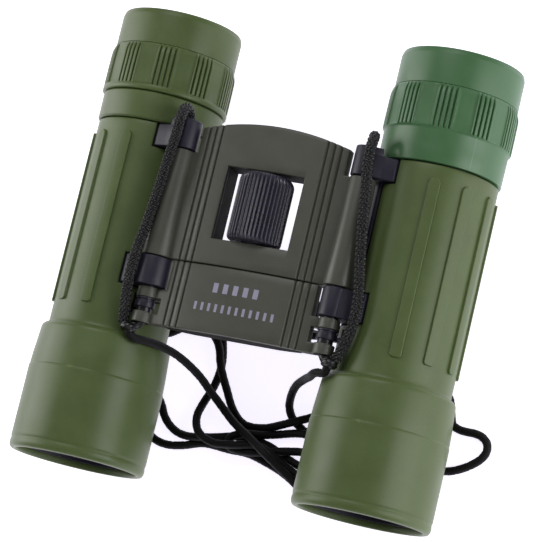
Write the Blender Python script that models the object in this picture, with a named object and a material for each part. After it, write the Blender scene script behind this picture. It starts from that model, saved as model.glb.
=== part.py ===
"""Folding pocket binoculars: two roof-prism barrels hung on a bridge by two parallel hinges, with a neck cord.

Working units are millimetres: X across the barrels, Y along the optical axes from the objective ends (Y = 0) to the
eyecup rims (Y = 111), Z up from the surface that the barrels lie on.  Every point is turned into metres, with the
origin under the middle of the body, by pt().
"""
import bpy
import bmesh
import math
from mathutils import Vector

MM = 0.001
LENGTH = 111.0
R_OBJ = 16.65            # outside of the objective section, which carries the weight on the table
R_MAIN = 14.5            # armour over the main tube
R_RIB = 15.12
ZB = R_OBJ               # height of the optical axes
XB = 36.8                # optical axis, left and right
XH = 23.25               # hinge axis, left and right
ZH = ZB + 12.96          # height of the hinge axes
HINGE_DIST = math.hypot(XB - XH, ZH - ZB)
HINGE_ANG = math.degrees(math.atan2(XB - XH, ZH - ZB))     # from straight up, towards the bridge
SIDES = (("left", -1.0), ("right", 1.0))


def pt(x, y, z):
    return Vector((x * MM, (y - LENGTH / 2.0) * MM, z * MM))


def clear_scene():
    for ob in list(bpy.data.objects):
        bpy.data.objects.remove(ob, do_unlink=True)
    for me in list(bpy.data.meshes):
        bpy.data.meshes.remove(me)
    for cu in list(bpy.data.curves):
        bpy.data.curves.remove(cu)


def new_mesh(name, verts, faces):
    me = bpy.data.meshes.new(name)
    me.from_pydata([pt(*v) for v in verts], [], faces)
    bm = bmesh.new()
    bm.from_mesh(me)
    bmesh.ops.recalc_face_normals(bm, faces=bm.faces)
    bm.to_mesh(me)
    bm.free()
    ob = bpy.data.objects.new(name, me)
    bpy.context.scene.collection.objects.link(ob)
    return ob


def combine(target, cutter, op):
    """Boolean of two closed bodies, kept as plain mesh; the second body is used up."""
    mod = target.modifiers.new("b", "BOOLEAN")
    mod.operation = op
    mod.solver = "EXACT"
    mod.object = cutter
    bpy.context.view_layer.update()
    dg = bpy.context.evaluated_depsgraph_get()
    me = bpy.data.meshes.new_from_object(target.evaluated_get(dg))
    target.modifiers.clear()
    old = target.data
    target.data = me
    bpy.data.meshes.remove(old)
    bpy.data.objects.remove(cutter, do_unlink=True)
    bm = bmesh.new()
    bm.from_mesh(target.data)
    bmesh.ops.remove_doubles(bm, verts=bm.verts, dist=2e-6)
    bmesh.ops.dissolve_degenerate(bm, dist=1e-6, edges=bm.edges)
    bm.to_mesh(target.data)
    bm.free()
    return target


def cut(target, *cutters):
    for c in cutters:
        combine(target, c, "DIFFERENCE")
    return target


def join(target, *parts):
    for p in parts:
        combine(target, p, "UNION")
    return target


# ---------------------------------------------------------------------------------------------- basic solids
def lathe(name, prof, cx, cz, n=28, phase=0.0):
    """Turned body about an axis parallel to Y.  prof is a list of (radius, y); a ring if every radius is positive,
    otherwise a solid whose first and last points lie on the axis."""
    verts, faces = [], []
    angs = [phase + 2.0 * math.pi * i / n for i in range(n)]
    solid = prof[0][0] == 0.0
    body = prof[1:-1] if solid else prof
    for r, y in body:
        for a in angs:
            verts.append((cx + r * math.sin(a), y, cz + r * math.cos(a)))
    m = len(body)
    rows = m - 1 if solid else m
    for j in range(rows):
        k = (j + 1) % m
        for i in range(n):
            q = (i + 1) % n
            faces.append((j * n + i, j * n + q, k * n + q, k * n + i))
    if solid:
        a0 = len(verts)
        verts.append((cx, prof[0][1], cz))
        verts.append((cx, prof[-1][1], cz))
        for i in range(n):
            q = (i + 1) % n
            faces.append((a0, i, q))
            faces.append((a0 + 1, (m - 1) * n + i, (m - 1) * n + q))
    return new_mesh(name, verts, faces)


def lathe_cut(name, stations, angles, cx, cz):
    """Turned ring with lengthwise cuts: stations are (radius, y, share of the cut), angles are (angle, depth)."""
    verts, faces = [], []
    n, m = len(angles), len(stations)
    for r, y, share in stations:
        for a, d in angles:
            q = r - d * share
            verts.append((cx + q * math.sin(a), y, cz + q * math.cos(a)))
    for j in range(m):
        k = (j + 1) % m
        for i in range(n):
            q = (i + 1) % n
            faces.append((j * n + i, j * n + q, k * n + q, k * n + i))
    return new_mesh(name, verts, faces)


def bar(name, outline, y0, y1):
    """Straight bar: an outline in X and Z, carried from y0 to y1."""
    n = len(outline)
    verts = [(x, y0, z) for x, z in outline] + [(x, y1, z) for x, z in outline]
    faces = [tuple(range(n)), tuple(range(2 * n - 1, n - 1, -1))]
    for i in range(n):
        q = (i + 1) % n
        faces.append((i, q, n + q, n + i))
    return new_mesh(name, verts, faces)


def box(name, x0, x1, y0, y1, z0, z1):
    return bar(name, [(x0, z0), (x1, z0), (x1, z1), (x0, z1)], y0, y1)


def rod(name, cx, cz, r, y0, y1, n=16, r1=None):
    r1 = r if r1 is None else r1
    return lathe(name, [(0.0, y0), (r, y0), (r1, y1), (0.0, y1)], cx, cz, n)


def rod_z(name, cx, cy, steps, n=16):
    """Upright turned solid; steps are (radius, z) from the bottom."""
    verts, faces = [], []
    for r, z in steps:
        for i in range(n):
            a = 2 * math.pi * i / n
            verts.append((cx + r * math.cos(a), cy + r * math.sin(a), z))
    m = len(steps)
    for j in range(m - 1):
        for i in range(n):
            q = (i + 1) % n
            faces.append((j * n + i, j * n + q, (j + 1) * n + q, (j + 1) * n + i))
    faces.append(tuple(range(n)))
    faces.append(tuple(range((m - 1) * n, m * n)))
    return new_mesh(name, verts, faces)


def slab(name, xs, y0, y1, top, bottom):
    """Arched plate: for each x, from y0(x) to y1(x) and from bottom(x) up to top(x)."""
    verts, faces = [], []
    for x in xs:
        verts += [(x, y0(x), bottom(x)), (x, y0(x), top(x)), (x, y1(x), top(x)), (x, y1(x), bottom(x))]
    for i in range(len(xs) - 1):
        a, b = 4 * i, 4 * (i + 1)
        for k in range(4):
            q = (k + 1) % 4
            faces.append((a + k, a + q, b + q, b + k))
    faces.append((0, 1, 2, 3))
    e = 4 * (len(xs) - 1)
    faces.append((e + 3, e + 2, e + 1, e))
    return new_mesh(name, verts, faces)


def tube(name, points, r):
    """Cord: a round tube along a smooth run of points."""
    cu = bpy.data.curves.new(name, "CURVE")
    cu.dimensions = "3D"
    cu.bevel_depth = r * MM
    cu.bevel_resolution = 2
    cu.render_resolution_u = 0
    cu.use_fill_caps = True
    sp = cu.splines.new("POLY")
    sp.points.add(len(points) - 1)
    for i, p in enumerate(points):
        v = pt(*p)
        sp.points[i].co = (v.x, v.y, v.z, 1.0)
    ob = bpy.data.objects.new(name, cu)
    bpy.context.scene.collection.objects.link(ob)
    return ob


def wedge(name, cx, cz, s, a0, a1, y0, y1, r=21.0):
    """Sector cutter about a barrel axis, between two angles from straight up, measured towards the bridge."""
    pts = [(cx, cz)]
    k = 4
    for i in range(k + 1):
        a = math.radians(a0 + (a1 - a0) * i / k)
        pts.append((cx - s * r * math.sin(a), cz + r * math.cos(a)))
    return bar(name, pts, y0, y1)


# ---------------------------------------------------------------------------------------------- bridge
GROOVES = (13.5, 15.2, 16.9)
SCREWS = (53.2, 78.8)
BORE = 1.95                                     # hinge bore
SLIT = {"left": 18.0, "right": 18.85}           # inner edge of the slit beside each lower lug
KNUCKLE = {"left": 4.1, "right": 3.3}           # lower lug's barrel around the hinge


def bridge_xs(reach):
    xs = [0.0, 4.0, 8.0, 12.0]
    for g in GROOVES:
        xs += [g - 0.32, g, g + 0.32]
    xs += [17.5, 17.55, 18.9, reach]
    return [-x for x in reversed(xs) if x > 0.0] + xs


def crown(x):
    return ZH + 3.0 - 2.0 * (x / 19.0) ** 2


def cover_top(x):
    z = crown(x)
    for g in GROOVES:
        if abs(abs(x) - g) < 0.01:
            z -= 0.45
    return z


def cover_bottom(x):
    if abs(x) > 17.52:
        return ZH - 1.8
    return crown(x) - 1.35


def underside(x):
    """Lowest surface of the bridge, clear of the barrels when they fold beneath it."""
    ax = abs(x)
    table = [(0.0, -4.7), (11.0, -4.7), (14.0, -4.0), (16.0, -3.3), (17.3, -2.95), (20.0, -2.6)]
    for (a, za), (b, zb) in zip(table, table[1:]):
        if ax <= b:
            return ZH + za + (zb - za) * (ax - a) / (b - a)
    return ZH - 2.6


def bridge():
    xs = bridge_xs(20.9)
    top_edge = lambda x: 83.3 + 2.5 * max(0.0, 1.0 - (x / 19.0) ** 2)
    rear = slab("bridge_eyepiece_section", xs, lambda x: 50.65, top_edge, cover_top, cover_bottom)
    join(rear, box("f", -11.3, 11.3, 55.4, 76.2, ZH - 5.0, ZH + 2.0),
         box("p", -2.6, 2.6, 51.0, 56.0, ZH - 3.3, ZH - 1.85), box("p", -2.6, 2.6, 75.6, 80.9, ZH - 3.3, ZH - 1.85))
    inner = [x for x in (-17.2, -14.0, -11.0, 0.0, 11.0, 14.0, 17.2)]
    join(rear, slab("w", inner, lambda x: 81.4, lambda x: 82.9, lambda x: crown(x) - 0.6, underside))
    for s in (-1, 1):
        join(rear, rod("c", s * XH, ZH, 3.65, 50.65, 77.1, 20, 3.15))
    cut(rear, box("h", -9.8, 9.8, 56.9, 74.7, ZH - 8, ZH + 8),
        rod("b", 0.0, ZH, 1.68, 54.0, 79.6))
    for y in SCREWS:
        cut(rear, rod_z("s", 0.0, y, [(1.15, ZH - 6.0), (1.15, ZH - 1.7)]))
    for s in (-1, 1):
        cut(rear, rod("b", s * XH, ZH, BORE, 50.0, 78.0),
            box("n", min(s * 18.85, s * 30), max(s * 18.85, s * 30), 77.1, 90.0, ZH - 8, ZH + 8))

    front = slab("bridge_objective_section", bridge_xs(21.25), lambda x: 34.4, lambda x: 50.35, cover_top,
                 cover_bottom)
    join(front, slab("w", inner, lambda x: 34.4, lambda x: 35.8, lambda x: crown(x) - 0.6, underside))
    for s in (-1, 1):
        join(front, rod("c", s * XH, ZH, 2.5, 34.4, 43.0, 20))
    for side, s in SIDES:
        edge = SLIT[side]
        cut(front, rod("b", s * XH, ZH, BORE, 33.0, 44.0),
            box("n", min(s * edge, s * 30), max(s * edge, s * 30), 43.0, 52.0, ZH - 8, ZH + 8),
            box("n", min(s * 19.2, s * 30), max(s * 19.2, s * 30), 36.95, 40.55, ZH - 8, ZH + 8),
            box("n", min(s * 17.2, s * 19.4), max(s * 17.2, s * 19.4), 38.45, 40.05, ZH - 2.5, ZH + 0.15))

    cover = slab("bridge_back_cover", inner, lambda x: 36.2, lambda x: 81.0, lambda x: underside(x) + 1.15, underside)
    cut(cover, box("h", -11.6, 11.6, 55.1, 76.5, ZH - 8, ZH + 8))
    for y in SCREWS:
        cut(cover, rod_z("s", 0.0, y, [(1.15, ZH - 6), (1.15, ZH - 2)]))
    for name, y in zip(("bridge_screw_front", "bridge_screw_rear"), SCREWS):
        rod_z(name, 0.0, y, [(1.7, ZH - 5.4), (1.9, ZH - 5.2), (1.9, ZH - 4.85), (1.0, ZH - 4.85), (1.0, ZH - 2.0)])

    for side, s in SIDES:
        lathe("hinge_tube_" + side, [(1.85, 34.6), (1.85, 86.3), (1.75, 86.6), (1.52, 86.6), (1.52, 34.6)],
              s * XH, ZH, 16)


# ---------------------------------------------------------------------------------------------- focusing
def focusing():
    teeth = 24
    angles = []
    for i in range(teeth):
        a = 2 * math.pi * i / teeth
        p = 2 * math.pi / teeth
        angles += [(a, 0.0), (a + 0.55 * p, 0.0), (a + 0.78 * p, 0.42)]
    stations = [(2.95, 57.35, 0), (5.9, 57.35, 0), (6.6, 58.1, 1), (6.6, 72.8, 1), (5.6, 73.95, 0),
                (2.95, 73.95, 0)]
    lathe_cut("focus_wheel_grip", stations, angles, 0.0, ZH)
    lathe("focus_wheel_hub", [(1.7, 57.2), (2.7, 57.2), (2.85, 57.45), (2.85, 74.2), (1.7, 74.2)], 0.0, ZH, 16)
    lathe("focus_spindle", [(0.0, 36.6), (0.9, 36.6), (1.1, 37.0), (1.1, 53.6), (1.6, 54.0), (1.6, 79.0), (1.3, 79.4),
                            (0.0, 79.4)], 0.0, ZH, 16)
    half = [(3.0, 1.45), (6.0, -0.5), (16.7, -0.55), (16.7, -1.55), (12.0, -2.2), (6.0, -3.15)]
    outline = [(x, ZH + z) for x, z in half] + [(-x, ZH + z) for x, z in reversed(half)]
    bar_ = bar("focus_crossbar", outline, 38.3, 40.9)
    nut = bar("n", [(-2.9, ZH - 3.1), (2.9, ZH - 3.1), (2.9, ZH + 1.4), (-2.9, ZH + 1.4)], 40.0, 46.4)
    join(bar_, nut, box("t", -21.0, 21.0, 39.58, 39.95, ZH - 0.8, ZH - 0.05))
    cut(bar_, rod("b", 0.0, ZH, 1.18, 36.0, 48.0, 16))


# ---------------------------------------------------------------------------------------------- barrels
LUG = [(-0.9, 3.15), (2.2, 2.6), (4.6, 1.4), (7.4, 0.5)]
RIBS = {"left": (4.4, 35.8, 67.0, 98.4, 130.0), "right": (16.5, 48.4, 79.8, 111.0, 142.5)}


def lug_outline(s):
    pts = list(LUG)
    dx, dz = XB - XH, ZH - ZB
    for a in (24.0, 33.0, 42.0, 51.0, 60.0):
        q = math.radians(a)
        pts.append((dx - 13.05 * math.sin(q), -dz + 13.05 * math.cos(q)))
    pts.append((-2.25, -2.4))
    pts.append((-3.15, -0.9))
    pts.append((-2.6, 2.0))
    return [(s * (XH + u), ZH + v) for u, v in pts]


def lug(s, y0, y1, r=3.3):
    ob = bar("l", lug_outline(s), y0, y1)
    join(ob, lathe("k", [(0.0, y0), (r, y0), (r, y1), (0.0, y1)], s * XH, ZH, 20))
    return ob


def barrel(side, s):
    cx = s * XB
    body = lathe("barrel_body_" + side,
                 [(15.3, 1.6), (15.3, 30.5), (13.4, 31.4), (13.4, 82.9), (13.0, 83.2), (13.0, 99.6), (11.9, 99.6),
                  (11.9, 84.0), (12.7, 83.4), (12.7, 31.0), (14.3, 30.2), (14.3, 1.6)], cx, ZB)
    upper = lug(s, 77.4, 84.6)
    cut(upper, lathe("r", [(0.0, 82.9), (15.3, 82.9), (15.3, 86.0), (0.0, 86.0)], cx, ZB))
    lower = lug(s, 43.3, 50.35, KNUCKLE[side])
    q = math.radians(HINGE_ANG)
    d = Vector((-s * math.sin(q), math.cos(q)))
    w = Vector((math.cos(q), s * math.sin(q)))
    fin = [(cx + d[0] * r + w[0] * t, ZB + d[1] * r + w[1] * t) for r, t in
           ((13.0, -1.5), (13.0, 1.5), (14.6, 1.4), (14.95, 1.0), (14.95, -1.0), (14.6, -1.4))]
    join(body, upper, lower, bar("f", fin, 50.0, 77.8))
    cut(body, rod("b", s * XH, ZH, BORE, 40.0, 90.0),
        wedge("w", cx, ZB, s, HINGE_ANG - 5.6, HINGE_ANG + 5.6, 36.9, 41.7))

    armour = lathe("barrel_armour_" + side,
                   [(14.75, 0.6), (15.0, 0.0), (15.8, 0.0), (16.4, 0.5), (16.65, 1.6), (16.65, 20.7),
                    (15.95, 30.7), (15.3, 31.35), (R_MAIN, 31.6), (R_MAIN, 82.5), (14.2, 83.0),
                    (13.5, 83.0), (13.5, 31.6), (15.4, 30.7), (15.4, 1.45), (14.75, 1.45)], cx, ZB)
    for a in RIBS[side]:
        arc = math.degrees(1.4 / R_RIB)
        ends = [(-1.0, 0.0), (-0.72, -0.9), (0.0, -1.35), (0.72, -0.9), (1.0, 0.0)]
        loop = [(a + u * arc, 38.2 + v) for u, v in ends] + [(a - u * arc, 78.4 - v) for u, v in ends]
        n = len(loop)
        verts = []
        for r in (14.1, R_RIB):
            for t, y in loop:
                b = math.radians(t)
                verts.append((cx + s * r * math.sin(b), y, ZB + r * math.cos(b)))
        faces = [(i, (i + 1) % n, n + (i + 1) % n, n + i) for i in range(n)]
        for k in (0, n):
            faces += [(k + i, k + i + 1, k + n - 2 - i, k + n - 1 - i) for i in range(n // 2 - 1)]
        join(armour, new_mesh("rib", verts, faces))
    cut(armour, wedge("w", cx, ZB, s, 22.6, 62.0, 43.0, 50.65),
        wedge("w", cx, ZB, s, 22.6, 62.0, 77.1, 84.0),
        wedge("w", cx, ZB, s, HINGE_ANG - 8.0, HINGE_ANG + 8.0, 50.0, 78.0),
        wedge("w", cx, ZB, s, HINGE_ANG - 5.8, HINGE_ANG + 5.8, 36.8, 41.8))

    # objective cell with the strip that carries the focusing motion up the inside of the tube
    cell = lathe("objective_cell_" + side,
                 [(12.5, 8.6), (14.15, 8.6), (14.15, 26.0), (11.7, 26.0), (11.7, 24.6), (12.0, 24.2), (12.0, 16.0),
                  (12.5, 15.6)], cx, ZB)
    strip = [(cx + d[0] * r + w[0] * t, ZB + d[1] * r + w[1] * t) for r, t in
             ((11.75, -1.9), (11.75, 1.9), (12.4, 1.9), (12.4, -1.9))]
    join(cell, bar("t", strip, 25.2, 40.4))
    lathe("objective_lens_" + side,
          [(0.0, 9.4), (7.0, 9.9), (12.35, 11.5), (12.35, 13.2), (7.0, 14.8), (0.0, 15.5)],
          cx, ZB, 32)
    lathe("objective_retainer_" + side, [(11.9, 7.9), (14.1, 7.2), (14.1, 8.4), (11.9, 8.4)], cx, ZB)
    collar = lathe("focus_collar_" + side,
                   [(BORE, 38.05), (2.45, 38.05), (2.45, 39.5), (2.15, 39.53), (2.15, 40.0), (2.45, 40.03),
                    (2.45, 40.45), (BORE, 40.45)], s * XH, ZH, 24)
    pin = [(cx + d[0] * r + w[0] * t, ZB + d[1] * r + w[1] * t) for r, t in
           ((12.55, -0.9), (12.55, 0.9), (16.6, 0.9), (16.6, -0.9))]
    join(collar, bar("p", pin, 38.2, 39.4))

    # prisms in their cage
    h = 8.3
    ang = [(2 * math.pi * i / 32) for i in range(32)]
    verts, faces = [], []
    for inner, y in ((False, 45.0), (False, 73.0), (True, 73.0), (True, 45.0)):
        for a in ang:
            r = min(h / max(abs(math.cos(a)), abs(math.sin(a))), 10.6) if inner else 11.4
            verts.append((cx + r * math.sin(a), y, ZB + r * math.cos(a)))
    for j in range(4):
        k = (j + 1) % 4
        for i in range(32):
            q2 = (i + 1) % 32
            faces.append((j * 32 + i, j * 32 + q2, k * 32 + q2, k * 32 + i))
    new_mesh("prism_cage_" + side, verts, faces)
    for name, poly in (("roof_prism_", [(46.0, -7.2), (46.0, 7.2), (62.3, 7.2), (52.5, -7.2)]),
                       ("schmidt_prism_", [(53.2, -7.2), (63.0, 7.2), (72.0, 7.2), (72.0, -2.0), (66.8, -7.2)])):
        verts = [(cx - 7.2, y, ZB + z) for y, z in poly] + [(cx + 7.2, y, ZB + z) for y, z in poly]
        n = len(poly)
        faces = [tuple(range(n)), tuple(range(2 * n - 1, n - 1, -1))]
        faces += [(i, (i + 1) % n, n + (i + 1) % n, n + i) for i in range(n)]
        new_mesh(name + side, verts, faces)
    lathe("field_stop_" + side, [(7.6, 75.6), (12.5, 75.0), (12.5, 76.4), (7.6, 76.0)], cx, ZB, 24)

    # eyepiece
    lathe("ocular_tube_" + side,
          [(10.1, 79.0), (11.75, 79.0), (11.75, 101.2), (9.0, 101.2), (9.0, 100.4), (10.1, 99.9)],
          cx, ZB)
    lathe("field_lens_" + side, [(0.0, 81.0), (6.0, 81.5), (9.95, 82.6), (9.95, 84.2), (0.0, 84.6)], cx, ZB, 24)
    lathe("eye_lens_" + side, [(0.0, 94.6), (9.95, 95.4), (9.95, 97.0), (6.0, 98.6), (0.0, 99.3)], cx, ZB, 24)

    groups = 10
    phase = {"left": 16.3, "right": 10.8}[side]
    angles = []
    for g in range(groups):
        c0 = math.radians(phase * 1.0 + 36.0 * g)
        for k in range(-4, 5):
            angles.append((c0 + math.radians(2.3 * k), 0.55 if k % 2 else 0.0))
    angles.sort()
    if side == "left":
        lathe("eyepiece_collar_left", [(13.15, 83.3), (14.6, 83.2), (14.95, 83.6), (15.0, 89.8), (14.8, 90.1),
                                       (13.15, 90.1)], cx, ZB)
        lathe_cut("grip_ring_left",
                  [(13.4, 90.35, 0), (15.5, 90.4, 0), (15.6, 91.3, 0), (15.55, 92.0, 1), (15.5, 100.0, 1),
                   (14.95, 102.2, 0), (13.4, 102.2, 0)],
                  angles, cx, ZB)
    else:
        lathe_cut("diopter_ring_right",
                  [(13.4, 83.35, 0), (14.9, 83.4, 0), (15.05, 91.3, 0), (15.55, 92.0, 1), (15.5, 100.0, 1),
                   (14.95, 102.2, 0), (13.4, 102.2, 0)],
                  angles, cx, ZB)
    lathe("eyecup_" + side,
          [(9.4, 102.45), (14.95, 102.45), (14.95, 109.6), (14.7, 110.6), (14.3, 111.0), (13.6, 111.0), (13.3, 110.6),
           (12.7, 104.2), (9.4, 103.3)], cx, ZB)


# ---------------------------------------------------------------------------------------------- cords
def spline(ctrl, step):
    """Centripetal Catmull-Rom run through the control points, resampled to an even step."""
    P = [Vector(c) for c in ctrl]
    P = [2 * P[0] - P[1]] + P + [2 * P[-1] - P[-2]]
    fine = []
    for i in range(1, len(P) - 2):
        p0, p1, p2, p3 = P[i - 1], P[i], P[i + 1], P[i + 2]
        t0 = 0.0
        t1 = t0 + max((p1 - p0).length, 1e-6) ** 0.5
        t2 = t1 + max((p2 - p1).length, 1e-6) ** 0.5
        t3 = t2 + max((p3 - p2).length, 1e-6) ** 0.5
        for k in range(24):
            t = t1 + (t2 - t1) * k / 24.0
            a1 = p0 * ((t1 - t) / (t1 - t0)) + p1 * ((t - t0) / (t1 - t0))
            a2 = p1 * ((t2 - t) / (t2 - t1)) + p2 * ((t - t1) / (t2 - t1))
            a3 = p2 * ((t3 - t) / (t3 - t2)) + p3 * ((t - t2) / (t3 - t2))
            b1 = a1 * ((t2 - t) / (t2 - t0)) + a2 * ((t - t0) / (t2 - t0))
            b2 = a2 * ((t3 - t) / (t3 - t1)) + a3 * ((t - t1) / (t3 - t1))
            fine.append(b1 * ((t2 - t) / (t2 - t1)) + b2 * ((t - t1) / (t2 - t1)))
    fine.append(P[-2].copy())
    s = [0.0]
    for a, b in zip(fine, fine[1:]):
        s.append(s[-1] + (b - a).length)
    n = max(2, int(round(s[-1] / step)))
    out, j = [], 0
    for k in range(n + 1):
        d = s[-1] * k / n
        while j < len(s) - 2 and s[j + 1] < d:
            j += 1
        f = (d - s[j]) / max(s[j + 1] - s[j], 1e-9)
        out.append(fine[j].lerp(fine[j + 1], min(max(f, 0.0), 1.0)))
    return out


CORD_R = 1.0
CORD_PATH = [
    # from the right knot down to the table, into the space beside the right barrel
    (24.7, 30.5, 29.7), (22.4, 30.4, 28.4), (20.4, 30.3, 25.2), (18.0, 30.4, 20.0), (14.6, 30.4, 14.0),
    (11.0, 29.2, 9.0),
    (8.7, 27.0, 4.6), (8.0, 24.6, 1.9), (9.2, 22.2, 1.0), (12.5, 20.0, 1.0), (17.0, 17.6, 1.0), (21.0, 14.0, 1.0),
    (22.3, 9.6, 1.0), (19.4, 6.4, 1.0), (15.0, 6.6, 1.0), (9.0, 9.3, 1.0),
    # along the front of the tangle to the left barrel, round and back
    (4.5, 10.8, 1.0), (0.0, 11.9, 1.0), (-5.0, 12.0, 1.0), (-12.0, 12.3, 1.0), (-17.0, 10.9, 1.0), (-21.0, 10.3, 1.0),
    (-24.5, 10.9, 1.0), (-27.2, 12.8, 1.0), (-28.4, 16.0, 1.0), (-28.4, 19.2, 1.0), (-27.3, 21.4, 1.0),
    (-25.6, 20.2, 1.0), (-23.4, 16.6, 1.0), (-20.0, 14.0, 1.0), (-15.6, 13.2, 1.0), (-10.0, 14.0, 1.0),
    (-5.0, 15.3, 1.0), (0.0, 15.6, 1.0), (5.0, 14.6, 1.0), (11.0, 12.2, 1.0), (16.0, 10.8, 1.0), (20.2, 11.6, 1.0),
    (21.6, 15.2, 1.0), (18.6, 18.2, 1.0), (13.0, 18.9, 1.0), (8.0, 18.2, 1.0), (3.0, 16.9, 1.0),
    (-1.6, 16.2, 1.0), (-4.9, 14.8, 1.0), (-4.6, 12.6, 1.0), (-1.0, 12.0, 1.0), (4.0, 12.6, 1.0), (9.0, 13.8, 1.0),
    (14.0, 14.6, 1.0), (18.4, 13.6, 1.0), (20.4, 10.6, 1.0), (17.6, 8.2, 1.0), (12.4, 9.6, 1.0), (8.0, 12.0, 1.0),
    (3.0, 13.9, 1.0),
    (-3.0, 12.9, 1.0), (-8.5, 12.6, 1.0), (-12.6, 14.4, 1.0), (-14.5, 18.0, 1.0), (-14.0, 22.5, 1.0),
    (-12.6, 27.5, 1.0), (-12.2, 32.5, 1.0), (-13.4, 38.0, 1.0),
    # put away under the bridge
    (-15.6, 44.0, 1.0), (-16.0, 50.0, 1.0), (-11.5, 54.6, 1.0), (-4.0, 56.8, 1.0), (5.0, 56.8, 1.0), (13.0, 54.6, 1.0),
    (17.4, 50.0, 1.0), (15.6, 45.2, 1.0), (9.6, 43.2, 1.0), (2.0, 44.2, 1.0), (-3.4, 47.6, 1.0), (-2.6, 51.6, 1.0),
    (3.0, 53.2, 1.0), (8.2, 51.0, 1.0), (8.2, 47.4, 1.0), (3.0, 46.4, 1.0), (-6.0, 47.0, 1.0), (-14.0, 47.6, 1.0),
    (-22.0, 48.6, 1.0), (-28.0, 47.4, 1.0), (-31.6, 44.0, 1.0), (-32.2, 40.0, 1.0), (-30.4, 37.2, 1.0),
    # out again in the arch beside the left barrel, then across to the right barrel
    (-27.4, 37.6, 1.0), (-24.6, 39.4, 1.0), (-20.6, 40.4, 1.0), (-16.6, 39.4, 1.0), (-13.4, 36.4, 1.0),
    (-11.8, 32.0, 1.0), (-9.6, 27.0, 1.0), (-6.6, 21.8, 1.0), (-3.0, 18.8, 1.0), (1.5, 18.6, 1.0), (6.5, 20.0, 1.0),
    (11.5, 22.0, 1.0), (17.0, 25.2, 1.0), (22.5, 28.8, 1.0), (28.0, 32.2, 1.0), (34.0, 33.2, 1.0), (39.5, 33.2, 1.0),
    (43.6, 32.4, 1.0), (45.4, 29.6, 1.0), (45.6, 24.6, 1.0), (45.7, 20.0, 1.0), (46.9, 17.1, 1.0), (49.9, 16.9, 1.0),
    (52.6, 17.8, 1.0), (55.2, 19.3, 1.0), (57.6, 21.5, 1.0), (58.4, 24.0, 1.0), (57.2, 26.0, 1.0), (54.6, 26.9, 1.0),
    (51.4, 27.0, 1.0), (48.9, 27.9, 1.0), (47.8, 30.6, 1.0), (46.6, 34.0, 1.0), (43.6, 36.2, 1.0), (39.5, 36.4, 1.0),
    (33.5, 36.0, 1.0),
    (28.6, 34.4, 1.0), (26.6, 30.0, 1.0), (26.4, 23.0, 1.0), (26.6, 15.0, 1.0), (26.0, 8.4, 1.0), (22.0, 4.2, 1.0),
    (17.0, 5.2, 1.0), (12.0, 8.4, 1.0),
    # back across the tangle and up to the left knot
    (7.0, 11.6, 1.0), (1.5, 15.0, 1.0), (-4.0, 18.2, 2.0), (-8.0, 21.5, 4.0), (-11.0, 24.3, 6.6), (-13.6, 27.2, 10.0),
    (-17.4, 30.0, 16.0), (-20.4, 30.9, 22.0), (-22.6, 30.7, 26.8), (-24.6, 30.5, 29.7),
]


def lay_down(points, r):
    """A later run of the cord lies over an earlier one: each point is raised over what is already beneath it, and
    the run rises to it and falls from it in a long low hump.  A run that is well above the point is left above it."""
    step = (points[1] - points[0]).length
    d = 2.0 * r
    gap = int(3.2 * d / step)
    slope = 0.30 * step
    base = [p.z for p in points]
    lift = [0.0] * len(points)
    for i, p in enumerate(points):
        h = base[i] + lift[i]
        for _ in range(3):
            for j in range(0, i - gap):
                q = points[j]
                dist = math.hypot(p.x - q.x, p.y - q.y)
                zj = base[j] + lift[j]
                if dist < d * 0.97 and zj < h + 0.9 * d:
                    h = max(h, zj + math.sqrt(d * d - dist * dist))
        lift[i] = h - base[i]
        k = i
        while k > 0 and lift[k - 1] < lift[k] - slope:
            lift[k - 1] = lift[k] - slope
            k -= 1
        if i + 1 < len(points):
            lift[i + 1] = max(0.0, lift[i] - slope)
    n = len(points)
    out = []
    for i in range(n):
        w = [base[q] + lift[q] for q in (min(max(i + k, 0), n - 1) for k in (-2, -1, 0, 1, 2))]
        out.append(max(r, 0.1 * w[0] + 0.2 * w[1] + 0.4 * w[2] + 0.2 * w[3] + 0.1 * w[4]))
    return [Vector((p.x, p.y, h)) for p, h in zip(points, out)]


def cord_points():
    fine = spline(CORD_PATH, 1.0)
    laid = lay_down([p.copy() for p in fine], CORD_R)
    return laid


STRAP = {
    "left": [(0.0, 0.0, 34.4), (0.0, 0.0, 60.0), (0.0, 0.0, 85.0), (0.1, 0.4, 87.6), (0.3, 1.9, 89.3),
             (0.4, 3.9, 88.9), (0.4, 4.8, 86.4), (0.5, 4.8, 80.0), (1.0, 4.7, 74.0), (1.7, 4.6, 66.0),
             (3.2, 4.0, 57.0), (4.9, 3.1, 51.0), (5.8, 2.6, 46.5), (5.9, 2.3, 42.0), (5.4, 1.8, 38.0),
             (4.8, 1.6, 35.7)],
    "right": [(0.0, 0.0, 34.4), (0.0, 0.0, 60.0), (0.0, 0.0, 85.0), (0.2, 0.4, 87.6), (0.9, 1.7, 89.3),
              (1.5, 3.5, 88.9), (1.7, 4.5, 86.4), (1.9, 4.4, 80.0), (2.7, 4.1, 74.0), (3.7, 3.6, 66.0),
              (5.0, 3.0, 57.0), (6.1, 2.6, 51.0), (6.6, 2.4, 46.5), (6.4, 2.2, 42.0), (5.6, 1.9, 38.0),
              (4.9, 1.7, 35.7)],
}


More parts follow.
